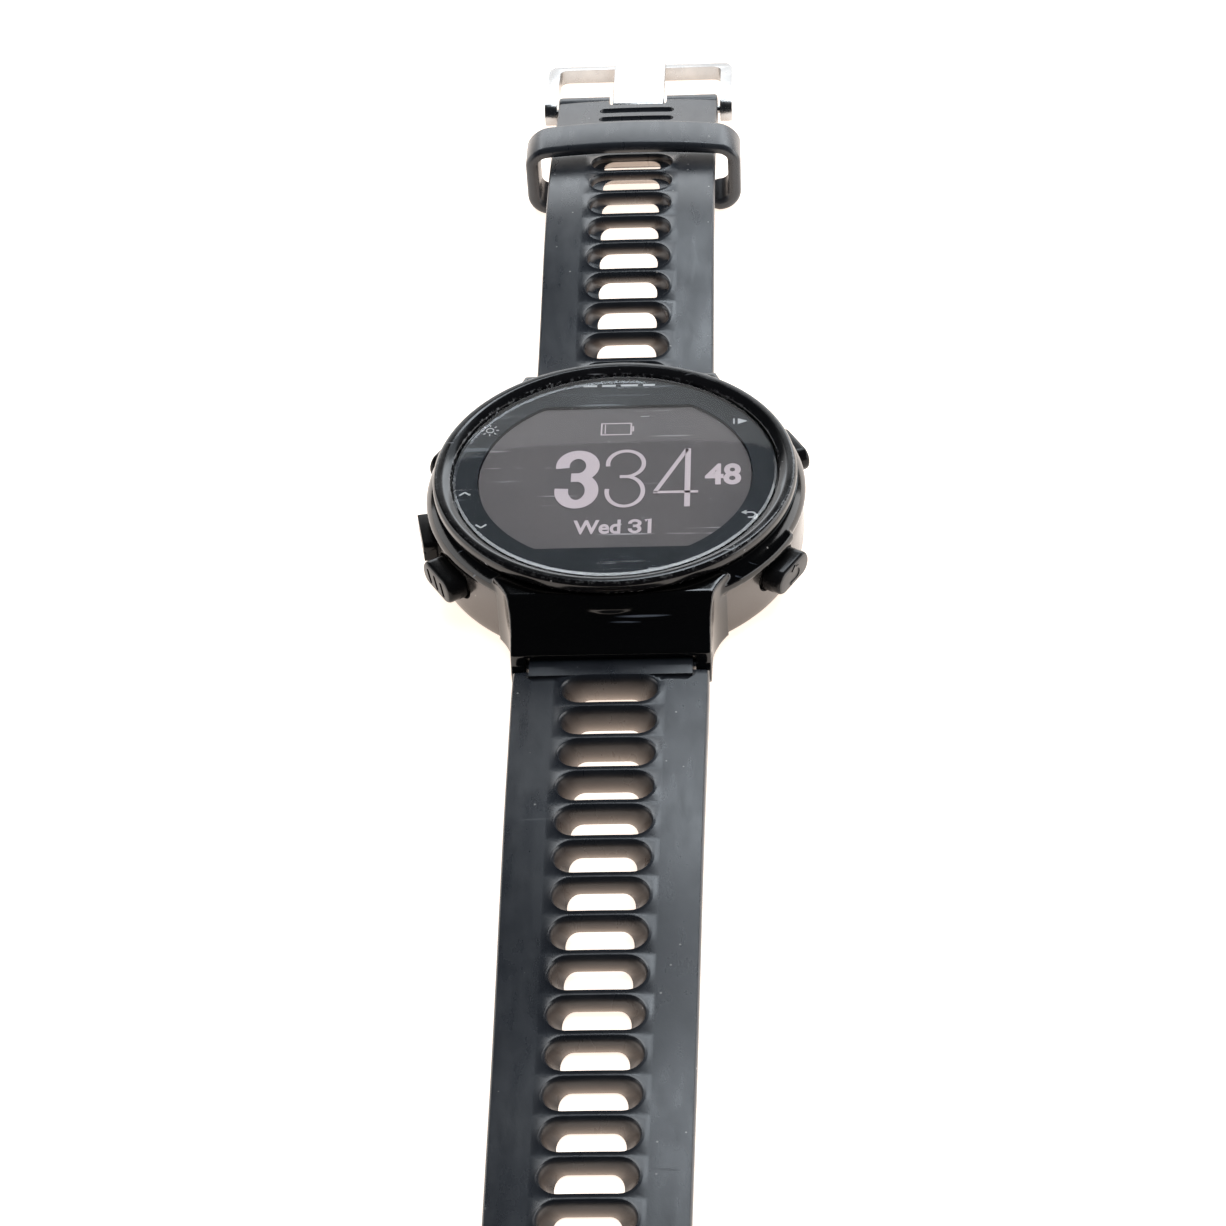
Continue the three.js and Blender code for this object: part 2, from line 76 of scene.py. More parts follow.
def node_box(node: str) -> tuple[Vector, Vector]:
    """Lowest and highest corner of a CAD node, in millimetres."""
    low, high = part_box(node)
    return low / MM, high / MM


def polar(radius: float, degrees: float) -> Point:
    """The point at a radius and an angle from 3 o'clock."""
    angle = math.radians(degrees)
    return radius * math.cos(angle), radius * math.sin(angle)


def smoothstep(value: float, low: float, high: float) -> float:
    """0 before low, 1 after high, and a smooth rise between them."""
    share = min(1.0, max(0.0, (value - low) / (high - low)))
    return share * share * (3 - 2 * share)


def arc(centre: Point, radius: float, start: float, end: float, steps: int) -> list[Point]:
    """Points along an arc.

    Args:
        centre: middle of the arc.
        radius: its radius.
        start: first angle in degrees.
        end: last angle in degrees.
        steps: how many chords it has.

    Returns:
        steps + 1 points.
    """
    angles = [start + (end - start) * i / steps for i in range(steps + 1)]
    return [(centre[0] + x, centre[1] + y) for x, y in (polar(radius, a) for a in angles)]


def bezier(p0: Point, p1: Point, p2: Point, p3: Point, steps: int) -> list[Point]:
    """Points along a cubic curve from p0 to p3, both ends included."""
    points = []
    for i in range(steps + 1):
        t = i / steps
        weights = ((1 - t) ** 3, 3 * t * (1 - t) ** 2, 3 * t * t * (1 - t), t ** 3)
        points.append(tuple(sum(w * p[k] for w, p in zip(weights, (p0, p1, p2, p3))) for k in (0, 1)))
    return points


# ---------- modelling by hand, one tool at a time ----------


def only(piece: Piece) -> None:
    """Leaves one piece selected and active."""
    if bpy.context.mode != "OBJECT":
        bpy.ops.object.mode_set(mode="OBJECT")
    bpy.ops.object.select_all(action="DESELECT")
    piece.select_set(True)
    bpy.context.view_layer.objects.active = piece


@contextmanager
def editing(piece: Piece) -> Iterator[None]:
    """Edit mode on one piece, with everything selected."""
    only(piece)
    bpy.ops.object.mode_set(mode="EDIT")
    bpy.ops.mesh.select_mode(type="VERT")
    bpy.ops.mesh.select_all(action="SELECT")
    yield
    bpy.ops.object.mode_set(mode="OBJECT")


def pick_faces(piece: Piece, test: Callable[[Vector, Vector], bool]) -> None:
    """Selects the faces whose middle (mm) and normal pass a test, in edit mode."""
    bpy.ops.mesh.select_mode(type="FACE")
    bpy.ops.mesh.select_all(action="DESELECT")
    shape = bmesh.from_edit_mesh(piece.data)
    for face in shape.faces:
        face.select_set(test(face.calc_center_median() / MM, face.normal))
    bmesh.update_edit_mesh(piece.data)


def pick_edges(piece: Piece, test: Callable[[Vector, Vector], bool], rim: bool = False) -> None:
    """Selects the edges whose two ends (mm) pass a test, in edit mode.

    Args:
        piece: the piece in edit mode.
        test: says yes or no to the two ends of an edge.
        rim: only edges with a single face are looked at.
    """
    bpy.ops.mesh.select_mode(type="EDGE")
    bpy.ops.mesh.select_all(action="DESELECT")
    shape = bmesh.from_edit_mesh(piece.data)
    for edge in shape.edges:
        wanted = not rim or edge.is_boundary
        edge.select_set(wanted and test(edge.verts[0].co / MM, edge.verts[1].co / MM))
    bmesh.update_edit_mesh(piece.data)


def heal(piece: Piece) -> Piece:
    """Merges doubled points and turns every face outwards."""
    with editing(piece):
        bpy.ops.mesh.remove_doubles(threshold=MERGE * MM)
        bpy.ops.mesh.normals_make_consistent(inside=False)
    return piece


def named(name: str) -> Piece:
    """Names the piece that was just added and settles its place in its mesh."""
    piece = bpy.context.object
    piece.name = name
    piece.data.name = name
    only(piece)
    bpy.ops.object.transform_apply(location=True, rotation=True, scale=True)
    return piece


def block(name: str, low: Sequence[float], high: Sequence[float]) -> Piece:
    """A box between two corners."""
    centre = [(a + b) / 2 * MM for a, b in zip(low, high)]
    size = [(b - a) * MM for a, b in zip(low, high)]
    bpy.ops.mesh.primitive_cube_add(size=1, location=centre, scale=size)
    return named(name)


def bar(name: str, radius: float, start: Sequence[float], end: Sequence[float], sides: int = 40) -> Piece:
    """A round bar from one point to another."""
    first, last = mm(*start), mm(*end)
    along = last - first
    turn = along.to_track_quat("Z", "Y").to_euler()
    bpy.ops.mesh.primitive_cylinder_add(
        vertices=sides, radius=radius * MM, depth=along.length, location=(first + last) / 2, rotation=turn)
    return named(name)


def drawn(name: str, points: Sequence[Sequence[float]], closed: bool = True) -> Piece:
    """A line drawn from point to point by pulling one vertex along.

    Args:
        name: the piece's name.
        points: the corners in millimetres, three numbers each.
        closed: joins the last point to the first.

    Returns:
        The piece, which has edges and no faces.
    """
    bpy.ops.mesh.primitive_plane_add(size=MM, location=mm(*points[0]))
    piece = named(name)
    with editing(piece):
        bpy.ops.mesh.merge(type="CENTER")
        for here, there in zip(points, points[1:]):
            step = mm(*there) - mm(*here)
            bpy.ops.mesh.extrude_region_move(TRANSFORM_OT_translate={"value": step})
        if closed:
            shape = bmesh.from_edit_mesh(piece.data)
            for vertex in shape.verts:
                vertex.select_set(len(vertex.link_edges) == 1)
            bmesh.update_edit_mesh(piece.data)
            bpy.ops.mesh.edge_face_add()
    return piece


def turned(name: str, profile: Sequence[Point], steps: int = 160, closed: bool = True,
           start: float = 0.0, sweep: float = 360.0) -> Piece:
    """A profile of (radius, z) points spun about the Z axis.

    Args:
        name: the piece's name.
        profile: its corners, on the axis at both ends where closed is False.
        steps: how many segments the spin has.
        closed: the profile is a loop.
        start: the angle of the first section, in degrees.
        sweep: how far it is spun, in degrees.

    Returns:
        A closed solid.
    """
    points = [(*polar(radius, start), z) for radius, z in profile]
    piece = drawn(name, points, closed)
    with editing(piece):
        bpy.ops.mesh.spin(steps=steps, angle=math.radians(sweep), center=(0, 0, 0), axis=(0, 0, 1))
    if sweep < 360:
        with editing(piece):
            bpy.ops.mesh.remove_doubles(threshold=MERGE * MM)
            bpy.ops.mesh.select_all(action="DESELECT")
            bpy.ops.mesh.select_non_manifold()
            bpy.ops.mesh.fill_holes(sides=0)
    return heal(piece)


def pulled(name: str, outline: Sequence[Sequence[float]], pull: Sequence[float]) -> Piece:
    """A flat outline filled and pulled into a solid."""
    piece = drawn(name, outline)
    with editing(piece):
        bpy.ops.mesh.edge_face_add()
        bpy.ops.mesh.extrude_region_move(TRANSFORM_OT_translate={"value": mm(*pull)})
    return heal(piece)


def plate(name: str, outline: Sequence[Point], bottom: float, top: float) -> Piece:
    """A plate whose outline lies in the XY plane."""
    return pulled(name, [(x, y, bottom) for x, y in outline], (0, 0, top - bottom))


def beam(name: str, section: Sequence[Point], start: float, end: float) -> Piece:
    """A beam along X whose section is drawn in Y and Z."""
    return pulled(name, [(start, y, z) for y, z in section], (end - start, 0, 0))


def modify(piece: Piece, kind: str, **settings: object) -> Piece:
    """Adds a modifier with its settings and applies it."""
    only(piece)
    modifier = piece.modifiers.new(kind.lower(), kind)
    for key, value in settings.items():
        setattr(modifier, key, value)
    bpy.ops.object.modifier_apply(modifier=modifier.name)
    return piece


def combine(piece: Piece, tools: Sequence[Piece], operation: str) -> Piece:
    """Runs a boolean with each tool in turn and removes the tools."""
    for tool in tools:
        modify(piece, "BOOLEAN", operation=operation, object=tool, solver="EXACT")
        bpy.data.objects.remove(tool)
    return piece


def cut(piece: Piece, *tools: Piece) -> Piece:
    """The piece without its tools."""
    return combine(piece, tools, "DIFFERENCE")


def weld(piece: Piece, *others: Piece) -> Piece:
    """The piece with the others fused to it."""
    return combine(piece, others, "UNION")


def soften(piece: Piece, width: float, segments: int = 3, angle: float = 40.0) -> Piece:
    """Rounds every edge sharper than an angle."""
    return modify(piece, "BEVEL", width=width * MM, segments=segments, limit_method="ANGLE",
                  angle_limit=math.radians(angle), use_clamp_overlap=True, miter_outer="MITER_ARC")


def round_edges(piece: Piece, width: float, segments: int, test: Callable[[Vector, Vector], bool]) -> Piece:
    """Rounds the chosen edges of a piece."""
    with editing(piece):
        pick_edges(piece, test)
        bpy.ops.mesh.bevel(offset=width * MM, segments=segments, profile=0.5, affect="EDGES")
    return piece


def gather(name: str, parts: Sequence[Piece]) -> Piece:
    """Joins separate parts into one piece."""
    only(parts[0])
    for part in parts[1:]:
        part.select_set(True)
    if len(parts) > 1:
        bpy.ops.object.join()
    parts[0].name = name
    parts[0].data.name = name
    return parts[0]


def copied(piece: Piece, name: str, turn: float = 0.0, shift: Sequence[float] = (0, 0, 0)) -> Piece:
    """A copy with its own mesh, turned about Z by degrees and shifted."""
    only(piece)
    bpy.ops.object.duplicate(linked=False)
    twin = bpy.context.object
    twin.rotation_euler.z = math.radians(turn)
    twin.location = mm(*shift)
    return named(name)


def reshape(piece: Piece, rule: Callable[[Vector], Vector]) -> Piece:
    """Moves each point to where a rule puts it, both in millimetres."""
    for vertex in piece.data.vertices:
        vertex.co = rule(vertex.co / MM) * MM
    piece.data.update()
    return piece


# ---------- shader nodes ----------


class Wiring:
    """Adds and links the nodes of one tree."""

    def __init__(self, tree: bpy.types.NodeTree) -> None:
        """Keeps the tree."""
        self.tree = tree

    def feed(self, socket: Socket, value: object) -> None:
        """Links a socket, or sets its value where it gets a plain one."""
        if isinstance(value, bpy.types.NodeSocket):
            self.tree.links.new(value, socket)
        else:
            socket.default_value = value

    def add(self, kind: str, settings: dict[str, object] | None = None, **inputs: object) -> bpy.types.Node:
        """One node.

        Args:
            kind: its type without the ShaderNode prefix.
            settings: properties of the node itself.
            inputs: what each named input gets, with _ for a space.

        Returns:
            The new node.
        """
        node = self.tree.nodes.new("ShaderNode" + kind)
        for key, value in (settings or {}).items():
            setattr(node, key, value)
        for label, value in inputs.items():
            self.feed(node.inputs[label.replace("_", " ")], value)
        return node

    def maths(self, operation: str, first: object, second: object = 0.0) -> Socket:
        """The result of one Math node."""
        node = self.add("Math", {"operation": operation, "use_clamp": operation in ("ADD", "SUBTRACT")})
        self.feed(node.inputs[0], first)
        self.feed(node.inputs[1], second)
        return node.outputs[0]

    def remap(self, value: object, low: object, high: object, to_low: object = 0.0, to_high: object = 1.0) -> Socket:
        """A value moved from one range to another, held inside it."""
        node = self.add("MapRange", None, Value=value, From_Min=low, From_Max=high, To_Min=to_low, To_Max=to_high)
        return node.outputs["Result"]

    def blend(self, factor: object, first: object, second: object) -> Socket:
        """A mix of two colours."""
        node = self.add("Mix", {"data_type": "RGBA"})
        for index, value in ((0, factor), (6, first), (7, second)):
            self.feed(node.inputs[index], value)
        return node.outputs[2]

    def place(self, scale: Sequence[float] = (1, 1, 1), turn: Sequence[float] = (0, 0, 0)) -> Socket:
        """Object coordinates through a Mapping node, turned by degrees."""
        where = self.add("TexCoord").outputs["Object"]
        angles = [math.radians(a) for a in turn]
        return self.add("Mapping", None, Vector=where, Scale=scale, Rotation=angles).outputs["Vector"]

    def noise(self, scale: object, detail: float = 3.0, vector: Socket | None = None, rough: float = 0.5) -> Socket:
        """The grey value of a Noise texture."""
        where = vector or self.add("TexCoord").outputs["Object"]
        return self.add("TexNoise", None, Vector=where, Scale=scale, Detail=detail, Roughness=rough).outputs["Fac"]


class Effect(Enum):
    """The effects that several finishes share, each one shader node group."""

    GRAIN = "fine_grain"
    SMUDGES = "hand_smudges"
    EDGE_WEAR = "edge_wear"
    SCRATCHES = "hairline_scratches"
    DUST = "settled_dust"


class EffectShop:
    """Builds each shared node group once and places it in materials."""

    def __init__(self) -> None:
        """Makes every group."""
        self.groups = {
            Effect.GRAIN: self._grain(),
            Effect.SMUDGES: self._smudges(),
            Effect.EDGE_WEAR: self._edge_wear(),
            Effect.SCRATCHES: self._scratches(),
            Effect.DUST: self._dust(),
        }

    @staticmethod
    def _start(effect: Effect, inputs: dict[str, float], outputs: Sequence[str]) -> tuple[Wiring, dict, dict]:
        """An empty group with its sockets.

        Args:
            effect: the effect that names it.
            inputs: each input's name and first value.
            outputs: each output's name.

        Returns:
            The wiring, the group's inputs by name, and its output sockets by name.
        """
        tree = bpy.data.node_groups.new(effect.value, "ShaderNodeTree")
        for label, value in inputs.items():
            socket = tree.interface.new_socket(label, in_out="INPUT", socket_type="NodeSocketFloat")
            socket.default_value = value
        for label in outputs:
            tree.interface.new_socket(label, in_out="OUTPUT", socket_type="NodeSocketFloat")
        source = tree.nodes.new("NodeGroupInput")
        sink = tree.nodes.new("NodeGroupOutput")
        return Wiring(tree), {k: source.outputs[k] for k in inputs}, {k: sink.inputs[k] for k in outputs}

    def _grain(self) -> bpy.types.NodeTree:
        """Fine moulded grain, with a slow change of tone."""
        wires, given, out = self._start(Effect.GRAIN, {"Scale": 6000.0}, ("Height", "Tone"))
        fine = wires.noise(given["Scale"], 2.0)
        slow = wires.noise(wires.maths("MULTIPLY", given["Scale"], 0.03), 4.0)
        wires.feed(out["Height"], wires.remap(fine, 0.3, 0.7))
        wires.feed(out["Tone"], wires.remap(slow, 0.3, 0.7))
        return wires.tree

    def _smudges(self) -> bpy.types.NodeTree:
        """Patches left by fingers, as a roughness between two values."""
        inputs = {"Scale": 150.0, "Clean": 0.1, "Smudged": 0.3}
        wires, given, out = self._start(Effect.SMUDGES, inputs, ("Roughness",))
        cloudy = wires.noise(given["Scale"], 5.0, rough=0.6)
        streaky = wires.noise(given["Scale"], 3.0, wires.place((4, 1, 1), (0, 0, 30)))
        both = wires.maths("MULTIPLY", cloudy, streaky)
        wires.feed(out["Roughness"], wires.remap(both, 0.12, 0.42, given["Clean"], given["Smudged"]))
        return wires.tree

    def _edge_wear(self) -> bpy.types.NodeTree:
        """Where convex edges have rubbed through, broken up by patches."""
        inputs = {"Radius": 0.0003, "Patches": 900.0, "Cover": 0.5}
        wires, given, out = self._start(Effect.EDGE_WEAR, inputs, ("Mask",))
        rounded = wires.add("Bevel", {"samples": 4}, Radius=given["Radius"]).outputs["Normal"]
        flat = wires.add("NewGeometry").outputs["Normal"]
        facing = wires.add("VectorMath", {"operation": "DOT_PRODUCT"})
        wires.feed(facing.inputs[0], rounded)
        wires.feed(facing.inputs[1], flat)
        edge = wires.remap(wires.maths("SUBTRACT", 1.0, facing.outputs["Value"]), 0.01, 0.12)
        patches = wires.noise(given["Patches"], 6.0, rough=0.65)
        level = wires.maths("SUBTRACT", 0.78, wires.maths("MULTIPLY", given["Cover"], 0.5))
        broken = wires.remap(patches, level, wires.maths("ADD", level, 0.06))
        wires.feed(out["Mask"], wires.maths("MULTIPLY", edge, broken))
        return wires.tree

    def _scratches(self) -> bpy.types.NodeTree:
        """Long thin scratches in three directions, gathered in patches."""
        wires, given, out = self._start(Effect.SCRATCHES, {"Scale": 900.0, "Amount": 0.5}, ("Mask",))
        level = wires.maths("SUBTRACT", 0.8, wires.maths("MULTIPLY", given["Amount"], 0.18))
        total: Socket | float = 0.0
        for angle in (24, -38, 71):
            lines = wires.noise(given["Scale"], 1.0, wires.place((0.05, 1.5, 1), (0, 0, angle)))
            thin = wires.remap(lines, level, wires.maths("ADD", level, 0.03))
            total = wires.maths("MAXIMUM", total, thin)
        patch = wires.remap(wires.noise(130.0, 3.0), 0.46, 0.6)
        wires.feed(out["Mask"], wires.maths("MULTIPLY", total, patch))
        return wires.tree

    def _dust(self) -> bpy.types.NodeTree:
        """Small specks of dust and lint."""
        wires, given, out = self._start(Effect.DUST, {"Scale": 1400.0, "Amount": 0.3}, ("Mask",))
        cells = wires.add("TexVoronoi", None, Scale=given["Scale"], Vector=wires.place())
        speck = wires.remap(cells.outputs["Distance"], 0.16, 0.08)
        chosen = wires.add("SeparateColor", None, Color=cells.outputs["Color"]).outputs[0]
        rare = wires.maths("LESS_THAN", chosen, wires.maths("MULTIPLY", given["Amount"], 0.25))
        wires.feed(out["Mask"], wires.maths("MULTIPLY", speck, rare))
        return wires.tree

    def use(self, wires: Wiring, effect: Effect, **values: float) -> dict[str, Socket]:
        """Places an effect in a material.

        Args:
            wires: the material's wiring.
            effect: which group.
            values: what its inputs are set to.

        Returns:
            Its outputs by name.
        """
        node = wires.tree.nodes.new("ShaderNodeGroup")
        node.node_tree = self.groups[effect]
        for label, value in values.items():
            node.inputs[label].default_value = value
        return {socket.name: socket for socket in node.outputs}


SHOP = EffectShop()


MADE: dict[str, bpy.types.Material] = {}


@dataclass(frozen=True)
class Finish:
    """One moulded, painted, plated or printed finish.

    Colours are linear. Grain and radius are in millimetres, and the shares run from 0 to 1.
    """

    name: str
    colour: Colour
    tone: Colour
    clean: float
    smudged: float
    metallic: float = 0.0
    coat: float = 0.0
    grain: float = 0.15
    grain_depth: float = 0.004
    wear: float = 0.0
    wear_radius: float = 0.25
    wear_patches: float = 700.0
    wear_colour: Colour = (0.5, 0.5, 0.5)
    scratches: float = 0.25
    scratch_colour: Colour = (0.25, 0.25, 0.26)
    dust: float = 0.2
    dust_colour: Colour = (0.45, 0.45, 0.44)
    specular: float = 0.5
    # Emission strength: a painted glow for parts that are not lamps.
    painted_glow: float = 0.0

    def material(self) -> bpy.types.Material:
        """The finish's material, made once."""
        if self.name not in MADE:
            MADE[self.name] = self._build()
        return MADE[self.name]

    def _start(self) -> tuple[bpy.types.Material, Wiring, bpy.types.Node]:
        """A material whose tree holds one Principled node."""
        material = bpy.data.materials.new(f"{self.name}_finish")
        material.use_nodes = True
        shader = next(n for n in material.node_tree.nodes if n.type == "BSDF_PRINCIPLED")
        return material, Wiring(material.node_tree), shader

    def _colour(self, wires: Wiring) -> Socket:
        """The colour over the surface, before wear and dust."""
        tone = SHOP.use(wires, Effect.GRAIN, Scale=0.7 / (self.grain * MM))["Tone"]
        return wires.blend(tone, (*self.colour, 1), (*self.tone, 1))

    def _height(self, wires: Wiring) -> Socket:
        """The relief over the surface, from 0 to 1."""
        return SHOP.use(wires, Effect.GRAIN, Scale=0.7 / (self.grain * MM))["Height"]

    def _build(self) -> bpy.types.Material:
        """Wires colour, gloss, wear, scratches, dust and relief to the shader."""
        material, wires, shader = self._start()
        colour = self._colour(wires)
        scratch = SHOP.use(wires, Effect.SCRATCHES, Scale=900.0, Amount=self.scratches)["Mask"]
        colour = wires.blend(scratch, colour, (*self.scratch_colour, 1))
        rough = SHOP.use(wires, Effect.SMUDGES, Scale=160.0, Clean=self.clean, Smudged=self.smudged)["Roughness"]
        rough = wires.maths("ADD", rough, wires.maths("MULTIPLY", scratch, 0.25))
        if self.wear:
            worn = SHOP.use(wires, Effect.EDGE_WEAR, Radius=self.wear_radius * MM, Patches=self.wear_patches,
                            Cover=self.wear)
            colour = wires.blend(worn["Mask"], colour, (*self.wear_colour, 1))
            rough = wires.maths("ADD", rough, wires.maths("MULTIPLY", worn["Mask"], 0.2))
        specks = SHOP.use(wires, Effect.DUST, Scale=1100.0, Amount=self.dust)["Mask"]
        colour = wires.blend(wires.maths("MULTIPLY", specks, 0.6), colour, (*self.dust_colour, 1))
        relief = wires.maths("SUBTRACT", self._height(wires), wires.maths("MULTIPLY", scratch, 0.5))
        bump = wires.add("Bump", None, Height=relief, Strength=0.5, Distance=self.grain_depth * MM)
        wires.feed(shader.inputs["Base Color"], colour)
        wires.feed(shader.inputs["Roughness"], rough)
        wires.feed(shader.inputs["Normal"], bump.outputs["Normal"])
        # Painted light: emission makes a print or display that is not lit from within glow faintly, standing in for
        # light that does not reach it.
        if self.painted_glow:
            wires.feed(shader.inputs["Emission Color"], colour)
            shader.inputs["Emission Strength"].default_value = self.painted_glow
        shader.inputs["Metallic"].default_value = self.metallic
        shader.inputs["Coat Weight"].default_value = self.coat
        shader.inputs["Specular IOR Level"].default_value = self.specular
        return material


@dataclass(frozen=True)
class DisplayFinish(Finish):
    """The reflective display: warm grey cells in a fine square grid."""

    cell: float = 0.16

    def _colour(self, wires: Wiring) -> Socket:
        """Cell edges a little darker than the cells."""
        base = super()._colour(wires)
        split = wires.add("SeparateXYZ", None, Vector=wires.add("TexCoord").outputs["Object"])
        edge: Socket | float = 0.0
        for axis in (0, 1):
            pitch = wires.maths("DIVIDE", split.outputs[axis], self.cell * MM)
            gap = wires.maths("GREATER_THAN", wires.maths("FRACT", pitch), 0.86)
            edge = wires.maths("MAXIMUM", edge, gap)
        dark = tuple(0.8 * c for c in self.colour)
        return wires.blend(wires.maths("MULTIPLY", edge, 0.6), base, (*dark, 1))


@dataclass(frozen=True)
class RubberFinish(Finish):
    """Strap rubber: rubbed paler in long patches where it has bent and been handled, with painted shade and painted
    bounce light on its slot walls.
    """

    rubbed: Colour = (0.03, 0.034, 0.04)
    slot_wall_shade: Colour = (0.05, 0.036, 0.03)
    slot_foot_bounce_light: Colour = (0.48, 0.41, 0.36)

    def _colour(self, wires: Wiring) -> Socket:
        """Slate rubber with paler rubbed stretches, and slot walls with painted shade near the top that turns into
        painted warm bounce light from the floor at their foot.
        """
        base = super()._colour(wires)
        long_patch = wires.noise(60.0, 4.0, wires.place((2.2, 0.8, 1)), 0.6)
        base = wires.blend(wires.remap(long_patch, 0.5, 0.72, 0.0, 0.55), base, (*self.rubbed, 1))
        depth = wires.add("Attribute", {"attribute_name": DEPTH}).outputs["Fac"]
        split = wires.add("SeparateXYZ", None, Vector=wires.add("NewGeometry").outputs["Normal"])
        upright = wires.remap(wires.maths("ABSOLUTE", split.outputs[2]), 0.5, 0.75, 1.0, 0.0)
        # Painted light: dark painted shade high on the slot walls, turning into bright warm painted bounce light from
        # the floor towards their foot.
        tan = wires.blend(wires.maths("POWER", depth, 3.6), (*self.slot_wall_shade, 1), (*self.slot_foot_bounce_light, 1))
        share = wires.maths("MULTIPLY", wires.remap(depth, 0.15, 0.55), upright)
        return wires.blend(share, base, tan)


@dataclass(frozen=True)
class GlassFinish(Finish):
    """Clear cover glass with hairline scratches. Lamps light what lies beneath it."""

    ior: float = 1.3

    def _build(self) -> bpy.types.Material:
        """A glass shader that lets shadow rays through."""
        material, wires, shader = self._start()
        scratch = SHOP.use(wires, Effect.SCRATCHES, Scale=1100.0, Amount=self.scratches)["Mask"]
        rough = SHOP.use(wires, Effect.SMUDGES, Scale=120.0, Clean=self.clean, Smudged=self.smudged)["Roughness"]
        rough = wires.maths("ADD", rough, wires.maths("MULTIPLY", scratch, 0.3))
        bump = wires.add("Bump", None, Height=wires.maths("SUBTRACT", 1.0, scratch), Strength=0.1,
                         Distance=self.grain_depth * MM)
        wires.feed(shader.inputs["Base Color"], self._colour(wires))
        wires.feed(shader.inputs["Roughness"], rough)
        wires.feed(shader.inputs["Normal"], bump.outputs["Normal"])
        shader.inputs["Transmission Weight"].default_value = 1.0
        shader.inputs["IOR"].default_value = self.ior
        clear = wires.add("BsdfTransparent", None, Color=(0.92, 0.93, 0.93, 1))
        mix = wires.add("MixShader")
        wires.feed(mix.inputs[0], wires.add("LightPath").outputs["Is Shadow Ray"])
        wires.feed(mix.inputs[1], shader.outputs["BSDF"])
        wires.feed(mix.inputs[2], clear.outputs["BSDF"])
        out = next(n for n in material.node_tree.nodes if n.type == "OUTPUT_MATERIAL")
        wires.feed(out.inputs["Surface"], mix.outputs[0])
        return material


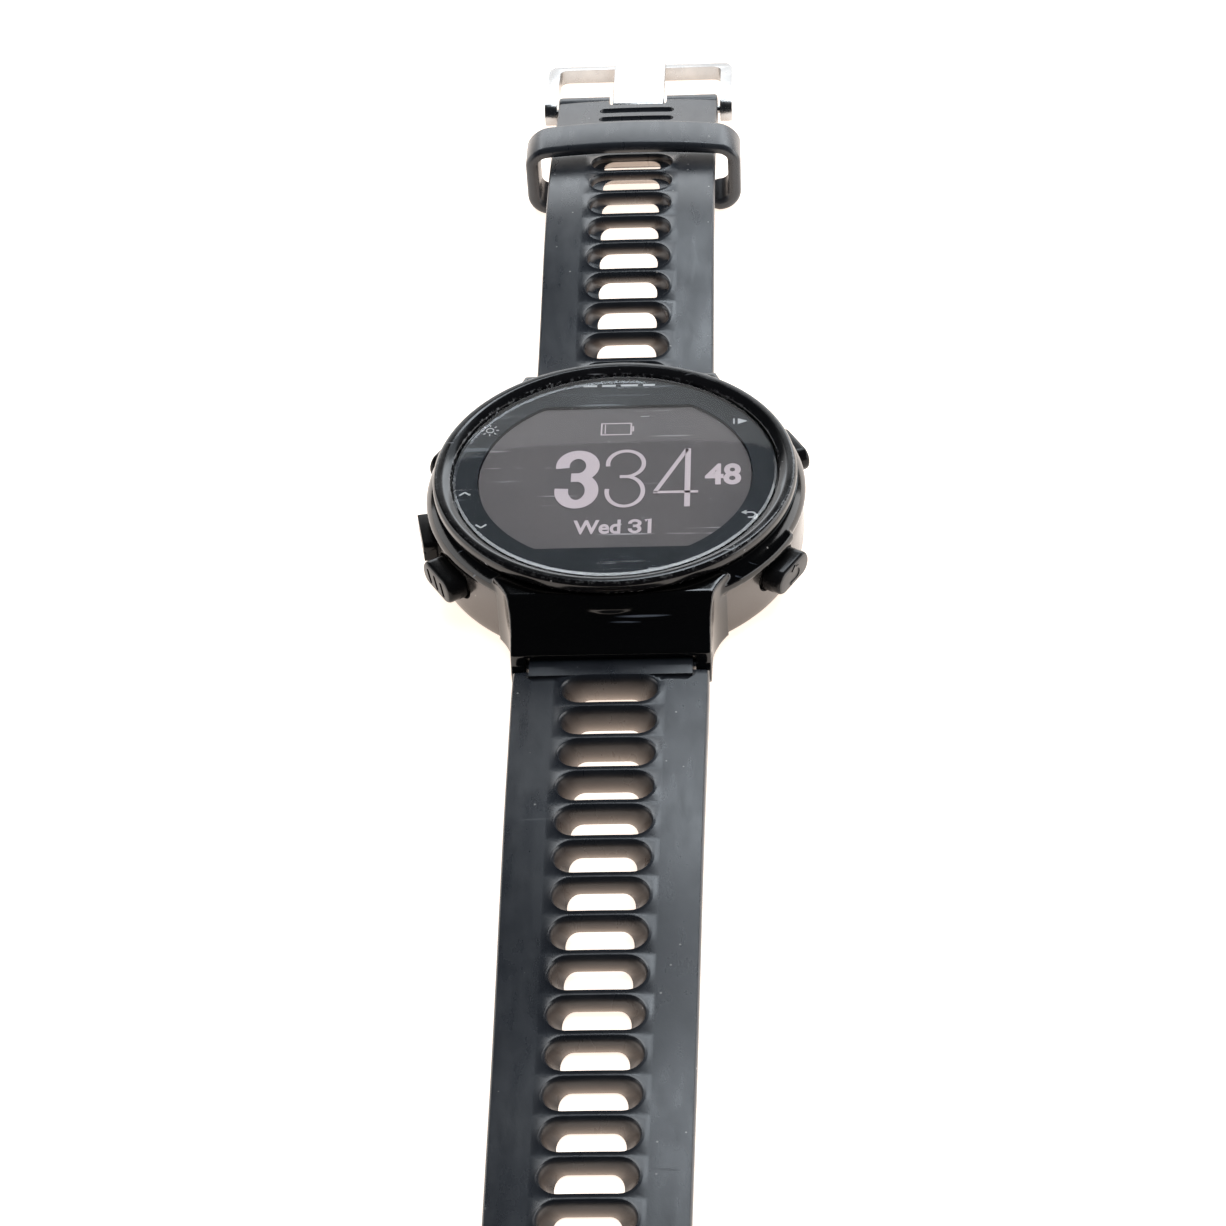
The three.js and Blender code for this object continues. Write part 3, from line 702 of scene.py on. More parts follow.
# Depth below the strap's top, which places the painted shade and bounce light on the slot walls.
DEPTH = "slot_depth"
SILVER = (0.58, 0.59, 0.61)
FINISHES = {
    "gloss_shell": Finish("gloss_shell", (0.001, 0.001, 0.001), (0.0016, 0.0016, 0.0018), 0.08, 0.18,
                          grain=0.5, grain_depth=0.0006, wear=0.42, wear_colour=(0.3, 0.31, 0.33),
                          scratches=0.3, scratch_colour=(0.1, 0.12, 0.15), dust=0.08),
    "bezel_paint": Finish("bezel_paint", (0.003, 0.003, 0.0034), (0.006, 0.006, 0.007), 0.1, 0.2,
                          grain=0.5, grain_depth=0.0006, wear=0.52, wear_radius=0.45, wear_patches=1500.0,
                          wear_colour=SILVER, scratches=0.25, scratch_colour=(0.3, 0.31, 0.33), dust=0.2),
    "inner_shell": Finish("inner_shell", (0.12, 0.112, 0.107), (0.15, 0.14, 0.134), 0.16, 0.28, metallic=0.8,
                          grain=0.4, grain_depth=0.001, scratches=0.2, dust=0.2),
    "button_cap": Finish("button_cap", (0.004, 0.004, 0.0044), (0.007, 0.007, 0.0075), 0.14, 0.26,
                         grain=0.3, grain_depth=0.002, wear=0.35, wear_colour=(0.14, 0.14, 0.15), dust=0.03, specular=0.2),
    "button_face": Finish("button_face", (0.03, 0.03, 0.031), (0.05, 0.05, 0.051), 0.35, 0.5,
                          grain=0.15, grain_depth=0.006, wear=0.3, wear_colour=(0.2, 0.2, 0.21), dust=0.08),
    "lens_glass": GlassFinish("lens_glass", (0.98, 0.98, 0.98), (0.95, 0.96, 0.97), 0.01, 0.05,
                              scratches=0.1, grain_depth=0.0006),
    "lens_print": Finish("lens_print", (0.024, 0.027, 0.03), (0.03, 0.033, 0.037), 0.5, 0.6,
                         grain=0.1, grain_depth=0.001, scratches=0.5, scratch_colour=(0.1, 0.11, 0.12),
                         dust=0.05, specular=0.0),
    "display": DisplayFinish("display", (0.115, 0.106, 0.108), (0.1, 0.093, 0.095), 0.45, 0.55,
                             grain=0.3, grain_depth=0.001, scratches=0.45,
                             scratch_colour=(0.3, 0.28, 0.29), dust=0.1, specular=0.0),
    # The digits and the border marks carry a faint painted glow.
    "display_digits": DisplayFinish("display_digits", (0.46, 0.4, 0.42), (0.43, 0.375, 0.395), 0.5, 0.6,
                                    grain=0.3, grain_depth=0.001, scratches=0.3,
                                    scratch_colour=(0.6, 0.55, 0.56), specular=0.0,
                                    painted_glow=0.05),
    "border_icons": Finish("border_icons", (0.45, 0.46, 0.47), (0.4, 0.41, 0.42), 0.5, 0.6, grain=0.1,
                           grain_depth=0.001, specular=0.0, painted_glow=0.05),
    "light_guide": Finish("light_guide", (0.75, 0.78, 0.8), (0.68, 0.72, 0.75), 0.15, 0.25, grain=0.4),
    # The strap's pale edge wear is partly real rubbing and partly a painted highlight along the slot rims.
    "strap_rubber": RubberFinish("strap_rubber", (0.0135, 0.0162, 0.0215), (0.0205, 0.0242, 0.031), 0.24, 0.38,
                                 grain=0.12, grain_depth=0.004, wear=0.3, wear_radius=0.3,
                                 wear_colour=(0.07, 0.077, 0.085), scratches=0.12,
                                 scratch_colour=(0.06, 0.066, 0.075), dust=0.1, specular=0.6),
    "seal_rubber": Finish("seal_rubber", (0.012, 0.012, 0.013), (0.02, 0.02, 0.021), 0.6, 0.75, grain=0.1),
    "steel": Finish("steel", (0.5, 0.49, 0.48), (0.4, 0.4, 0.4), 0.2, 0.34, metallic=1.0, grain=0.08,
                    grain_depth=0.002, scratches=0.5, scratch_colour=(0.8, 0.8, 0.8), dust=0.1),
    "gold_contact": Finish("gold_contact", (0.72, 0.5, 0.2), (0.6, 0.4, 0.15), 0.18, 0.34, metallic=1.0,
                           grain=0.1, scratches=0.5, scratch_colour=(0.85, 0.65, 0.35), dust=0.2),
    "board": Finish("board", (0.01, 0.06, 0.03), (0.016, 0.09, 0.04), 0.35, 0.5, grain=0.5, coat=0.3),
    "battery_pouch": Finish("battery_pouch", (0.45, 0.46, 0.48), (0.36, 0.37, 0.4), 0.28, 0.4,
                            metallic=0.7, grain=0.6, grain_depth=0.02),
    "ceramic": Finish("ceramic", (0.5, 0.47, 0.4), (0.42, 0.4, 0.34), 0.5, 0.65, grain=0.1),
    "tray_plastic": Finish("tray_plastic", (0.02, 0.02, 0.021), (0.035, 0.035, 0.036), 0.4, 0.55,
                           grain=0.12, grain_depth=0.008),
}


def dress(piece: Piece, finish: str) -> Piece:
    """Gives a piece one finish all over."""
    piece.data.materials.clear()
    piece.data.materials.append(FINISHES[finish].material())
    return piece


def settle(piece: Piece, body: str, slot: str, *nodes: str, finish: str | None = None,
           angle: float = 35.0) -> Piece:
    """Shades a finished piece and joins it to the frame.

    Args:
        piece: the piece, with its place in its mesh.
        body: the CAD body that it moves with.
        slot: the record's material slot.
        nodes: the CAD nodes that it stands for.
        finish: its finish, where it differs from the slot's.
        angle: edges sharper than this stay sharp, in degrees.

    Returns:
        The same piece.
    """
    only(piece)
    bpy.ops.object.shade_smooth_by_angle(angle=math.radians(angle))
    dress(piece, finish or slot)
    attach(piece, body)
    if nodes:
        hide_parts(*nodes)
    log.info("%s: %d faces on body %s", piece.name, len(piece.data.polygons), body)
    return piece


# ---------- the case ----------


@dataclass
class CaseShells:
    """The glossy upper shell with its lugs, and the lower shell with the button openings."""

    bore: float = 18.9
    wall: float = 21.4
    split: float = 7.9
    seam: float = 0.15
    seat: float = 10.2
    shoulder: float = 22.2
    pin: Point = (23.6, 2.7)
    horn: float = 2.1
    horn_inner: float = 9.3
    half_width: float = 11.0
    lip: Point = (24.9, 5.5)
    voxel: float = 0.18

    def _lug(self, turn: float) -> Piece:
        """One lug: its side view pulled along X, trimmed to its plan, with the strap's room cut out."""
        side = [(17.0, self.seat)]
        side += bezier((20.3, self.seat), (21.6, 9.2), (22.0, 7.0), self.lip, 18)
        side += arc(self.pin, self.horn, 40, -90, 16)
        side += [(21.0, 1.3), (17.0, 1.3)]
        lug = beam("lug", side, -15, 15)
        flare = bezier((14.6, 15), (12.2, 18), (self.half_width, 20), (self.half_width, 23), 14)
        right = flare + [(self.half_width, 26.5)]
        plan = plate("plan", right + [(-x, y) for x, y in reversed(right)], 0, 11)
        combine(lug, [plan], "INTERSECT")
        y, z = self.pin
        room = self.horn + 0.1
        inner = self.horn_inner
        cut(lug,
            bar("room", room, (-inner, y, z), (inner, y, z), 48),
            block("below", (-inner, y - room, -1), (inner, 28, z)),
            block("behind", (-inner, y, -1), (inner, 28, z + room)),
            bar("pin_hole", 0.9, (-12, y, z), (12, y, z), 24))
        for side_x in (-1, 1):
            cut(lug, bar("head_room", 1.25, (side_x * 10.1, y, z), (side_x * 12, y, z), 32))
        cut(lug,
            bar("lower_case_room", self.wall + self.seam, (0, 0, -1), (0, 0, self.split + self.seam), 160),
            bar("inside", self.bore + 0.1, (0, 0, 0), (0, 0, 9.6), 160),
            bar("window", 17.6, (0, 0, 9), (0, 0, 12), 160))
        twin = copied(lug, "lug_turned", turn)
        bpy.data.objects.remove(lug)
        return twin

    def upper(self) -> Piece:
        """The glossy shell: ring, shoulders and lugs fused into one smooth moulding."""
        bottom = self.split + self.seam
        outer = [(21.45, bottom), (21.6, bottom + 0.12)]
        outer += bezier((21.7, 8.5), (21.75, 9.1), (21.2, 9.75), (20.55, self.seat), 10)
        shell = turned("upper_shell", [(self.bore, bottom), *outer, (17.2, self.seat), (17.2, 9.5),
                                       (self.bore, 9.5)], 180)
        for start, sweep in ((-24, 44), (158, 66)):
            rim = self.shoulder
            profile = [(20, bottom), (rim - 0.15, bottom), (rim, bottom + 0.2), (rim - 0.1, 9.0),
                       (rim - 0.6, 9.35), (20, 9.6)]
            weld(shell, turned("shoulder", profile, 48, start=start, sweep=sweep))
        weld(shell, self._lug(0), self._lug(180))
        modify(shell, "REMESH", mode="VOXEL", voxel_size=self.voxel * MM)
        modify(shell, "SMOOTH", factor=0.5, iterations=10)
        return settle(shell, "case", "gloss_shell", "upper_case", angle=60)

    def _button_room(self, angle: float) -> Piece:
        """The opening for one button cap."""
        low, high = node_box("start_button")
        z = (low.z + high.z) / 2
        room = block("button_room", (20.2, -3.55, z - 1.75), (24.5, 3.55, z + 1.75))
        round_edges(room, 1.7, 8, lambda a, b: abs(a.x - b.x) > 3)
        twin = copied(room, "button_room_turned", angle)
        bpy.data.objects.remove(room)
        return twin

    def lower(self, angles: Sequence[float]) -> Piece:
        """The lower shell: a turned wall with a bead at its foot and five openings."""
        profile = [(self.bore, 2.2), (20.65, 2.2), (20.65, 1.3), (21.0, 1.3)]
        profile += bezier((21.05, 1.32), (21.3, 1.5), (21.35, 2.2), (self.wall, 3.2), 8)
        profile += bezier((self.wall, 5.8), (self.wall, 6.6), (21.35, 7.2), (21.2, self.split), 6)
        profile += [(self.bore, self.split)]
        shell = turned("lower_shell", profile, 180)
        cut(shell, *[self._button_room(angle) for angle in angles])
        return settle(shell, "case", "inner_shell", "lower_case")


@dataclass
class Front:
    """What the wearer looks at: bezel, cover glass, printed border, display and its marks."""

    bezel: float = 20.75
    bezel_inner: float = 18.65
    lens: float = 18.45
    display: float = 15.55
    display_half: float = 13.02
    marks_radius: float = 17.2

    def bezel_ring(self) -> Piece:
        """The painted metal ring."""
        low, high = node_box("bezel_ring")
        profile = [(self.bezel_inner, low.z), (20.5, low.z), (self.bezel, 10.8), (20.72, 11.5),
                   (20.4, high.z), (19.6, high.z), (self.bezel_inner, 11.35)]
        ring = turned("bezel", profile, 200)
        soften(ring, 0.16, 4, 20)
        return settle(ring, "case", "gloss_shell", "bezel_ring", finish="bezel_paint")

    def cover_glass(self) -> Piece:
        """The lens: flat below, faintly domed on top, with a ground edge."""
        low, high = node_box("lens")
        dome = bezier((18.2, 11.4), (16, 11.47), (8, high.z), (0, high.z), 12)
        profile = [(0, low.z), (18.3, low.z), (self.lens, low.z + 0.15), (self.lens, 11.2), *dome]
        glass = turned("cover_glass", profile, 200, closed=False)
        return settle(glass, "case", "lens_glass", "lens")

    def _window(self, margin: float) -> list[Point]:
        """The display's outline, a circle with flats above and below, grown by a margin."""
        radius = self.display + margin
        corner = math.degrees(math.asin((self.display_half + margin) / radius))
        return arc((0, 0), radius, -corner, corner, 48) + arc((0, 0), radius, 180 - corner, 180 + corner, 48)

    def border(self) -> Piece:
        """The printed border under the glass."""
        low, high = node_box("lens_mask")
        disc = bar("lens_border", 18.3, (0, 0, low.z), (0, 0, high.z), 200)
        cut(disc, plate("window", self._window(0.1), low.z - 1, high.z + 1))
        return settle(disc, "case", "lens_print", "lens_mask")

    def panel(self) -> Piece:
        """The display itself."""
        low, high = node_box("display_panel")
        panel = plate("display_face", self._window(0), low.z, high.z)
        return settle(panel, "case", "display", "display_panel")

    def _text(self, body: str, centre: Point, height: float, width: float, bold: float, level: float) -> Piece:
        """Flat characters fitted to a size.

        Args:
            body: the characters.
            centre: middle of the line.
            height: how tall it stands.
            width: how wide it runs.
            bold: how far the strokes are swollen, in millimetres.
            level: height of the panel that it lies on.

        Returns:
            The characters as one mesh.
        """
        bpy.ops.object.select_all(action="DESELECT")
        bpy.ops.object.text_add(location=(0, 0, 0))
        text = bpy.context.object
        text.data.body = body
        text.data.size = height * MM * 1.4
        text.data.offset = bold * MM
        text.data.extrude = 0.01 * MM
        text.data.resolution_u = 6
        bpy.ops.object.convert(target="MESH")
        piece = bpy.context.object
        xs = [v.co.x / MM for v in piece.data.vertices]
        ys = [v.co.y / MM for v in piece.data.vertices]
        scale_x = width / (max(xs) - min(xs))
        scale_y = height / (max(ys) - min(ys))
        middle = Vector(((max(xs) + min(xs)) / 2, (max(ys) + min(ys)) / 2, 0))
        return reshape(piece, lambda p: Vector((
            (p.x - middle.x) * scale_x + centre[0], (p.y - middle.y) * scale_y + centre[1], p.z + level)))

    def digits(self) -> Piece:
        """The time, the seconds, the date and the battery outline."""
        level = node_box("display_panel")[1].z + 0.03
        parts = [
            *self._three(-6.8, -1.8, -5.7, 5.0, 1.55, level),
            *self._three(-1.1, 3.5, -5.7, 5.0, 0.5, level),
            *self._four(4.4, 9.5, -5.7, 5.0, 0.5, level),
            self._text("48", (12.3, 0.1), 3.9, 4.1, 0.17, level),
            self._text("Wed", (-1.75, -9.1), 2.5, 5.3, 0.09, level),
            *self._three(1.75, 3.25, -10.35, -7.85, 0.42, level),
            self._stroke([(4.15, -10.35), (4.15, -7.85), (3.65, -8.1)], 0.42, level),
        ]
        outer = [(-1.9, 7.85), (1.7, 7.85), (1.7, 10.15), (-1.9, 10.15)]
        cell = plate("cell", outer, level - 0.01, level + 0.01)
        inset = [(x * 0.9 + (-0.01), 9 + (y - 9) * 0.86) for x, y in outer]
        cut(cell, plate("cell_inside", inset, level - 1, level + 1))
        parts += [cell, block("cell_tip", (1.75, 8.5, level - 0.01), (1.95, 9.5, level + 0.01)),
                  block("cell_bar", (-1.45, 8.15, level - 0.01), (-1.33, 9.85, level + 0.01))]
        return settle(gather("display_digits", parts), "case", "display", finish="display_digits")

    def _stroke(self, points: Sequence[Point], width: float, level: float) -> Piece:
        """A flat line of one width through points, with square ends."""
        left, right = [], []
        for i, here in enumerate(points):
            before, after = Vector(points[max(i - 1, 0)]), Vector(points[min(i + 1, len(points) - 1)])
            along = (after - before).normalized()
            across = Vector((-along.y, along.x)) * width / 2
            left.append(Vector((here[0] + across.x, here[1] + across.y, level)))
            right.append(Vector((here[0] - across.x, here[1] - across.y, level)))
        stroke = drawn("stroke", left, closed=False)
        with editing(stroke):
            bpy.ops.mesh.select_all(action="SELECT")
            bpy.ops.mesh.extrude_edges_move()
            shape = bmesh.from_edit_mesh(stroke.data)
            for vertex in [v for v in shape.verts if v.select]:
                gaps = [(vertex.co / MM - place).length for place in left]
                vertex.co = mm(*right[gaps.index(min(gaps))])
            bmesh.update_edit_mesh(stroke.data)
            bpy.ops.mesh.select_all(action="SELECT")
            bpy.ops.mesh.extrude_region_move(TRANSFORM_OT_translate={"value": mm(0, 0, 0.02)})
            bpy.ops.mesh.select_all(action="SELECT")
            bpy.ops.mesh.normals_make_consistent(inside=False)
        return stroke

    def _bowl(self, box: Sequence[float], start: float, end: float, tail: Sequence[Point], weight: float,
              level: float) -> Piece:
        """An open oval stroke inside a box, with a straight tail.

        Args:
            box: its left, right, bottom and top edges.
            start: the angle where it starts, in degrees.
            end: the angle where it ends.
            tail: points that follow its end.
            weight: the stroke's width.
            level: height of the panel that it lies on.

        Returns:
            The stroke.
        """
        left, right, bottom, top = box
        half_x, half_y = (right - left - weight) / 2, (top - bottom - weight) / 2
        oval = [((left + right) / 2 + half_x * x, (bottom + top) / 2 + half_y * y)
                for x, y in arc((0, 0), 1.0, start, end, 40)]
        return self._stroke(oval + list(tail), weight, level)

    def _three(self, left: float, right: float, low: float, high: float, weight: float, level: float) -> list[Piece]:
        """A figure 3 as two bowls that meet at a short bar."""
        middle = low + (high - low) * 0.53
        inner = left + (right - left) * 0.36
        upper = self._bowl((left, right, middle - weight / 2, high), 190, -90, [(inner, middle)], weight, level)
        lower = self._bowl((left, right, low, middle + weight / 2), 170, 450, [(inner, middle)], weight,
                           level + 0.006)
        return [upper, lower]

    def _four(self, left: float, right: float, low: float, high: float, weight: float, level: float) -> list[Piece]:
        """A figure 4: stem, slope and bar."""
        stem = left + (right - left) * 0.76
        foot = low + (high - low) * 0.25
        apex = stem - weight * 0.2
        return [
            self._stroke([(stem, low), (stem, high)], weight * 1.3, level),
            self._stroke([(left + weight * 0.4, foot), (apex, high - weight * 0.1)], weight, level),
            self._stroke([(left, foot), (right, foot)], weight * 0.9, level),
        ]

    def icons(self) -> Piece:
        """The small marks beside the buttons: lamp, up, down, start and back."""
        level = node_box("lens_mask")[1].z + 0.01
        parts = []
        x, y = polar(self.marks_radius, 149)
        parts.append(self._stroke(arc((x, y), 0.42, 0, 350, 20), 0.13, level))
        for ray in range(0, 360, 45):
            inner, outer = polar(0.72, ray), polar(1.05, ray)
            parts.append(self._stroke([(x + inner[0], y + inner[1]), (x + outer[0], y + outer[1])], 0.13, level))
        for angle, lift in ((190, 1), (211, -1)):
            x, y = polar(self.marks_radius, angle)
            arm = [(x - 0.6, y - 0.25 * lift), (x, y + 0.3 * lift), (x + 0.6, y - 0.25 * lift)]
            parts += [self._stroke(arm[:2], 0.2, level), self._stroke(arm[1:], 0.2, level)]
        x, y = polar(self.marks_radius, 34)
        parts.append(self._stroke([(x - 0.75, y - 0.5), (x - 0.75, y + 0.5)], 0.18, level))
        parts.append(plate("triangle", [(x - 0.3, y - 0.55), (x + 0.8, y), (x - 0.3, y + 0.55)], level, level + 0.02))
        x, y = polar(self.marks_radius, 333)
        hook = [(x - 0.7, y + 0.45), (x + 0.2, y + 0.45)] + arc((x + 0.2, y), 0.45, 90, -90, 12)
        hook += [(x - 0.2, y - 0.45)]
        parts.append(self._stroke(hook, 0.2, level))
        parts.append(plate("arrow", [(x - 0.95, y + 0.45), (x - 0.35, y + 0.05), (x - 0.35, y + 0.85)],
                           level, level + 0.02))
        for place, length in ((-3.4, 1.6), (-1.2, 1.6), (1.2, 2.0), (3.5, 1.4)):
            parts.append(block("dash", (place - length / 2, 16.9, level), (place + length / 2, 17.25, level + 0.02)))
        return settle(gather("border_marks", parts), "case", "lens_print", finish="border_icons")

    def build(self) -> None:
        """Makes every piece of the front."""
        self.bezel_ring()
        self.cover_glass()
        self.border()
        self.panel()
        self.digits()
        self.icons()


@dataclass
class Back:
    """The back cover with its sensor window, charging contacts and screws."""

    cover_outer: float = 20.4
    cover_inner: float = 7.4
    screw_circle: float = 17.3
    screw_angles: tuple[float, ...] = (45, 135, 225, 315)

    def cover(self) -> Piece:
        """The back cover."""
        low, high = node_box("back_cover")
        profile = [(self.cover_inner, low.z + 0.1), (self.cover_inner + 0.15, low.z), (19.8, low.z),
                   (20.2, 0.95), (self.cover_outer, 1.25), (self.cover_outer, high.z), (self.cover_inner, high.z)]
        cover = turned("back_plate", profile, 180)
        for angle in self.screw_angles:
            x, y = polar(self.screw_circle, angle)
            cut(cover, bar("screw_hole", 1.3, (x, y, 0), (x, y, 1.35)), bar("hole", 0.8, (x, y, 0), (x, y, 3)))
        for number in range(1, 5):
            low, high = node_box(f"charge_contact_{number}")
            x, y = (low.x + high.x) / 2, (low.y + high.y) / 2
            cut(cover, bar("contact_hole", 0.9, (x, y, 0), (x, y, 3)))
        return settle(cover, "case", "gloss_shell", "back_cover")

    def window(self) -> Piece:
        """The domed window over the pulse sensor."""
        low, high = node_box("sensor_window")
        profile = [(0, low.z), (5.4, low.z)]
        profile += bezier((5.6, low.z), (6.3, 0.08), (6.8, 0.35), (7.1, 0.9), 8)
        profile += [(7.1, high.z), (0, high.z)]
        dome = turned("sensor_dome", profile, 120, closed=False)
        return settle(dome, "case", "lens_glass", "sensor_window")

    def contacts(self) -> None:
        """Four plated pins with rounded ends."""
        for number in range(1, 5):
            node = f"charge_contact_{number}"
            low, high = node_box(node)
            x, y = (low.x + high.x) / 2, (low.y + high.y) / 2
            pin = bar(f"contact_pin_{number}", 0.7, (x, y, low.z), (x, y, high.z))
            soften(pin, 0.15, 4)
            settle(pin, "case", "gold_contact", node)

    def screws(self) -> None:
        """Four socket screws."""
        for number, angle in enumerate(self.screw_angles, 1):
            x, y = polar(self.screw_circle, angle)
            screw = bar(f"cover_screw_{number}", 1.1, (x, y, 0.9), (x, y, 1.25), 48)
            weld(screw, bar("shank", 0.55, (x, y, 1.1), (x, y, 4.5), 24))
            soften(screw, 0.1, 3)
            cut(screw, bar("socket", 0.42, (x, y, 0.5), (x, y, 1.15), 6))
            settle(screw, "case", "steel", f"back_screw_{number}")

    def build(self) -> None:
        """Makes every piece of the back."""
        self.cover()
        self.window()
        self.contacts()
        self.screws()


class Cap(Enum):
    """The shapes of the five button caps."""

    SMOOTH = "smooth"
    KEY = "key"
    RIBBED = "ribbed"
    ARROW = "arrow"


@dataclass
class SideButtons:
    """The five buttons. Each is shaped at 3 o'clock and then turned to its place."""

    length: float = 6.5
    height: float = 3.0
    face: float = 23.6
    back: float = 20.9
    places: dict[str, tuple[float, Cap]] = field(default_factory=lambda: {
        "start": (28, Cap.SMOOTH),
        "light": (152, Cap.SMOOTH),
        "up": (191, Cap.KEY),
        "down": (212, Cap.RIBBED),
        "lap": (329, Cap.ARROW),
    })

    def _body(self, z: float, corner: float) -> Piece:
        """The cap's block with round ends and a soft rim."""
        half_y, half_z = self.length / 2, self.height / 2
        cap = block("cap", (self.back, -half_y, z - half_z), (self.face, half_y, z + half_z))
        round_edges(cap, corner, 10, lambda a, b: abs(a.x - b.x) > 1)
        return cap

    def _smooth(self, z: float) -> Piece:
        """A plain rounded cap."""
        return soften(self._body(z, 1.45), 0.55, 5)

    def _key(self, z: float) -> Piece:
        """A flat key with a fine split line along it."""
        cap = self._body(z, 0.5)
        reshape(cap, lambda p: Vector((min(p.x, self.face - 0.9), p.y * 0.92, z + (p.z - z) * 0.85)))
        cut(cap, block("split", (self.face - 1.15, -4, z + 0.1), (24, 4, z + 0.28)))
        return soften(cap, 0.14, 3)

    def _ribbed(self, z: float) -> Piece:
        """A thick cap whose face has three slanted grip grooves."""
        cap = soften(self._body(z, 1.45), 0.5, 5)
        for offset in (-1.5, 0, 1.5):
            groove = beam("groove", [(-0.28, -0.9), (0.28, -0.9), (0.28, 0.9), (-0.28, 0.9)], self.face - 0.45, 24)
            round_edges(groove, 0.27, 6, lambda a, b: abs(a.x - b.x) > 0.3)
            groove.rotation_euler.x = math.radians(24)
            groove.location = mm(0, offset, z)
            only(groove)
            bpy.ops.object.transform_apply(location=True, rotation=True, scale=True)
            cut(cap, groove)
        return cap

    def _arrow(self, z: float) -> Piece:
        """A cap whose face carries a raised return arrow."""
        cap = soften(self._body(z, 1.45), 0.5, 5)
        start, end = self.face - 0.1, self.face + 0.1
        outer = arc((0.3, z), 0.95, 130, -90, 22)
        inner = arc((0.3, z), 0.62, -90, 130, 22)
        hook = beam("hook", outer + inner, start, end)
        foot = block("foot", (start, -0.9, z - 0.95), (end, 0.35, z - 0.62))
        head = beam("head", [(-0.65, z + 0.72), (0.1, z + 1.25), (0.2, z + 0.2)], start, end)
        return weld(cap, hook, foot, head)

    def build(self) -> None:
        """Makes the five caps with their stems, and faces two of them with a lighter grip."""
        low, high = node_box("start_button")
        z = (low.z + high.z) / 2
        makers = {Cap.SMOOTH: self._smooth, Cap.KEY: self._key, Cap.RIBBED: self._ribbed, Cap.ARROW: self._arrow}
        for name, (angle, style) in self.places.items():
            cap = makers[style](z)
            weld(cap, bar("stem", 0.6, (17.7, 0, z), (self.back + 0.3, 0, z), 24))
            cut(cap, *[self._clip_groove(z)])
            piece = copied(cap, f"{name}_cap", angle)
            bpy.data.objects.remove(cap)
            settle(piece, f"{name}_button", "button_cap", f"{name}_button")
            if style in (Cap.RIBBED, Cap.ARROW):
                self._face(piece, angle)

    def _clip_groove(self, z: float) -> Piece:
        """The ring that cuts the clip's groove into a stem."""
        groove = bar("clip_groove", 1.0, (18.0, 0, z), (18.4, 0, z), 24)
        return cut(groove, bar("clip_core", 0.42, (17.9, 0, z), (18.5, 0, z), 24))

    def _face(self, piece: Piece, angle: float) -> None:
        """Gives the outer face its own grip finish."""
        piece.data.materials.append(FINISHES["button_face"].material())
        outwards = Vector((*polar(1, angle), 0))
        for face in piece.data.polygons:
            far = face.center.dot(outwards) / MM
            if face.normal.dot(outwards) > 0.8 and far > self.face - 0.3:
                face.material_index = 1


# ---------- the strap ----------


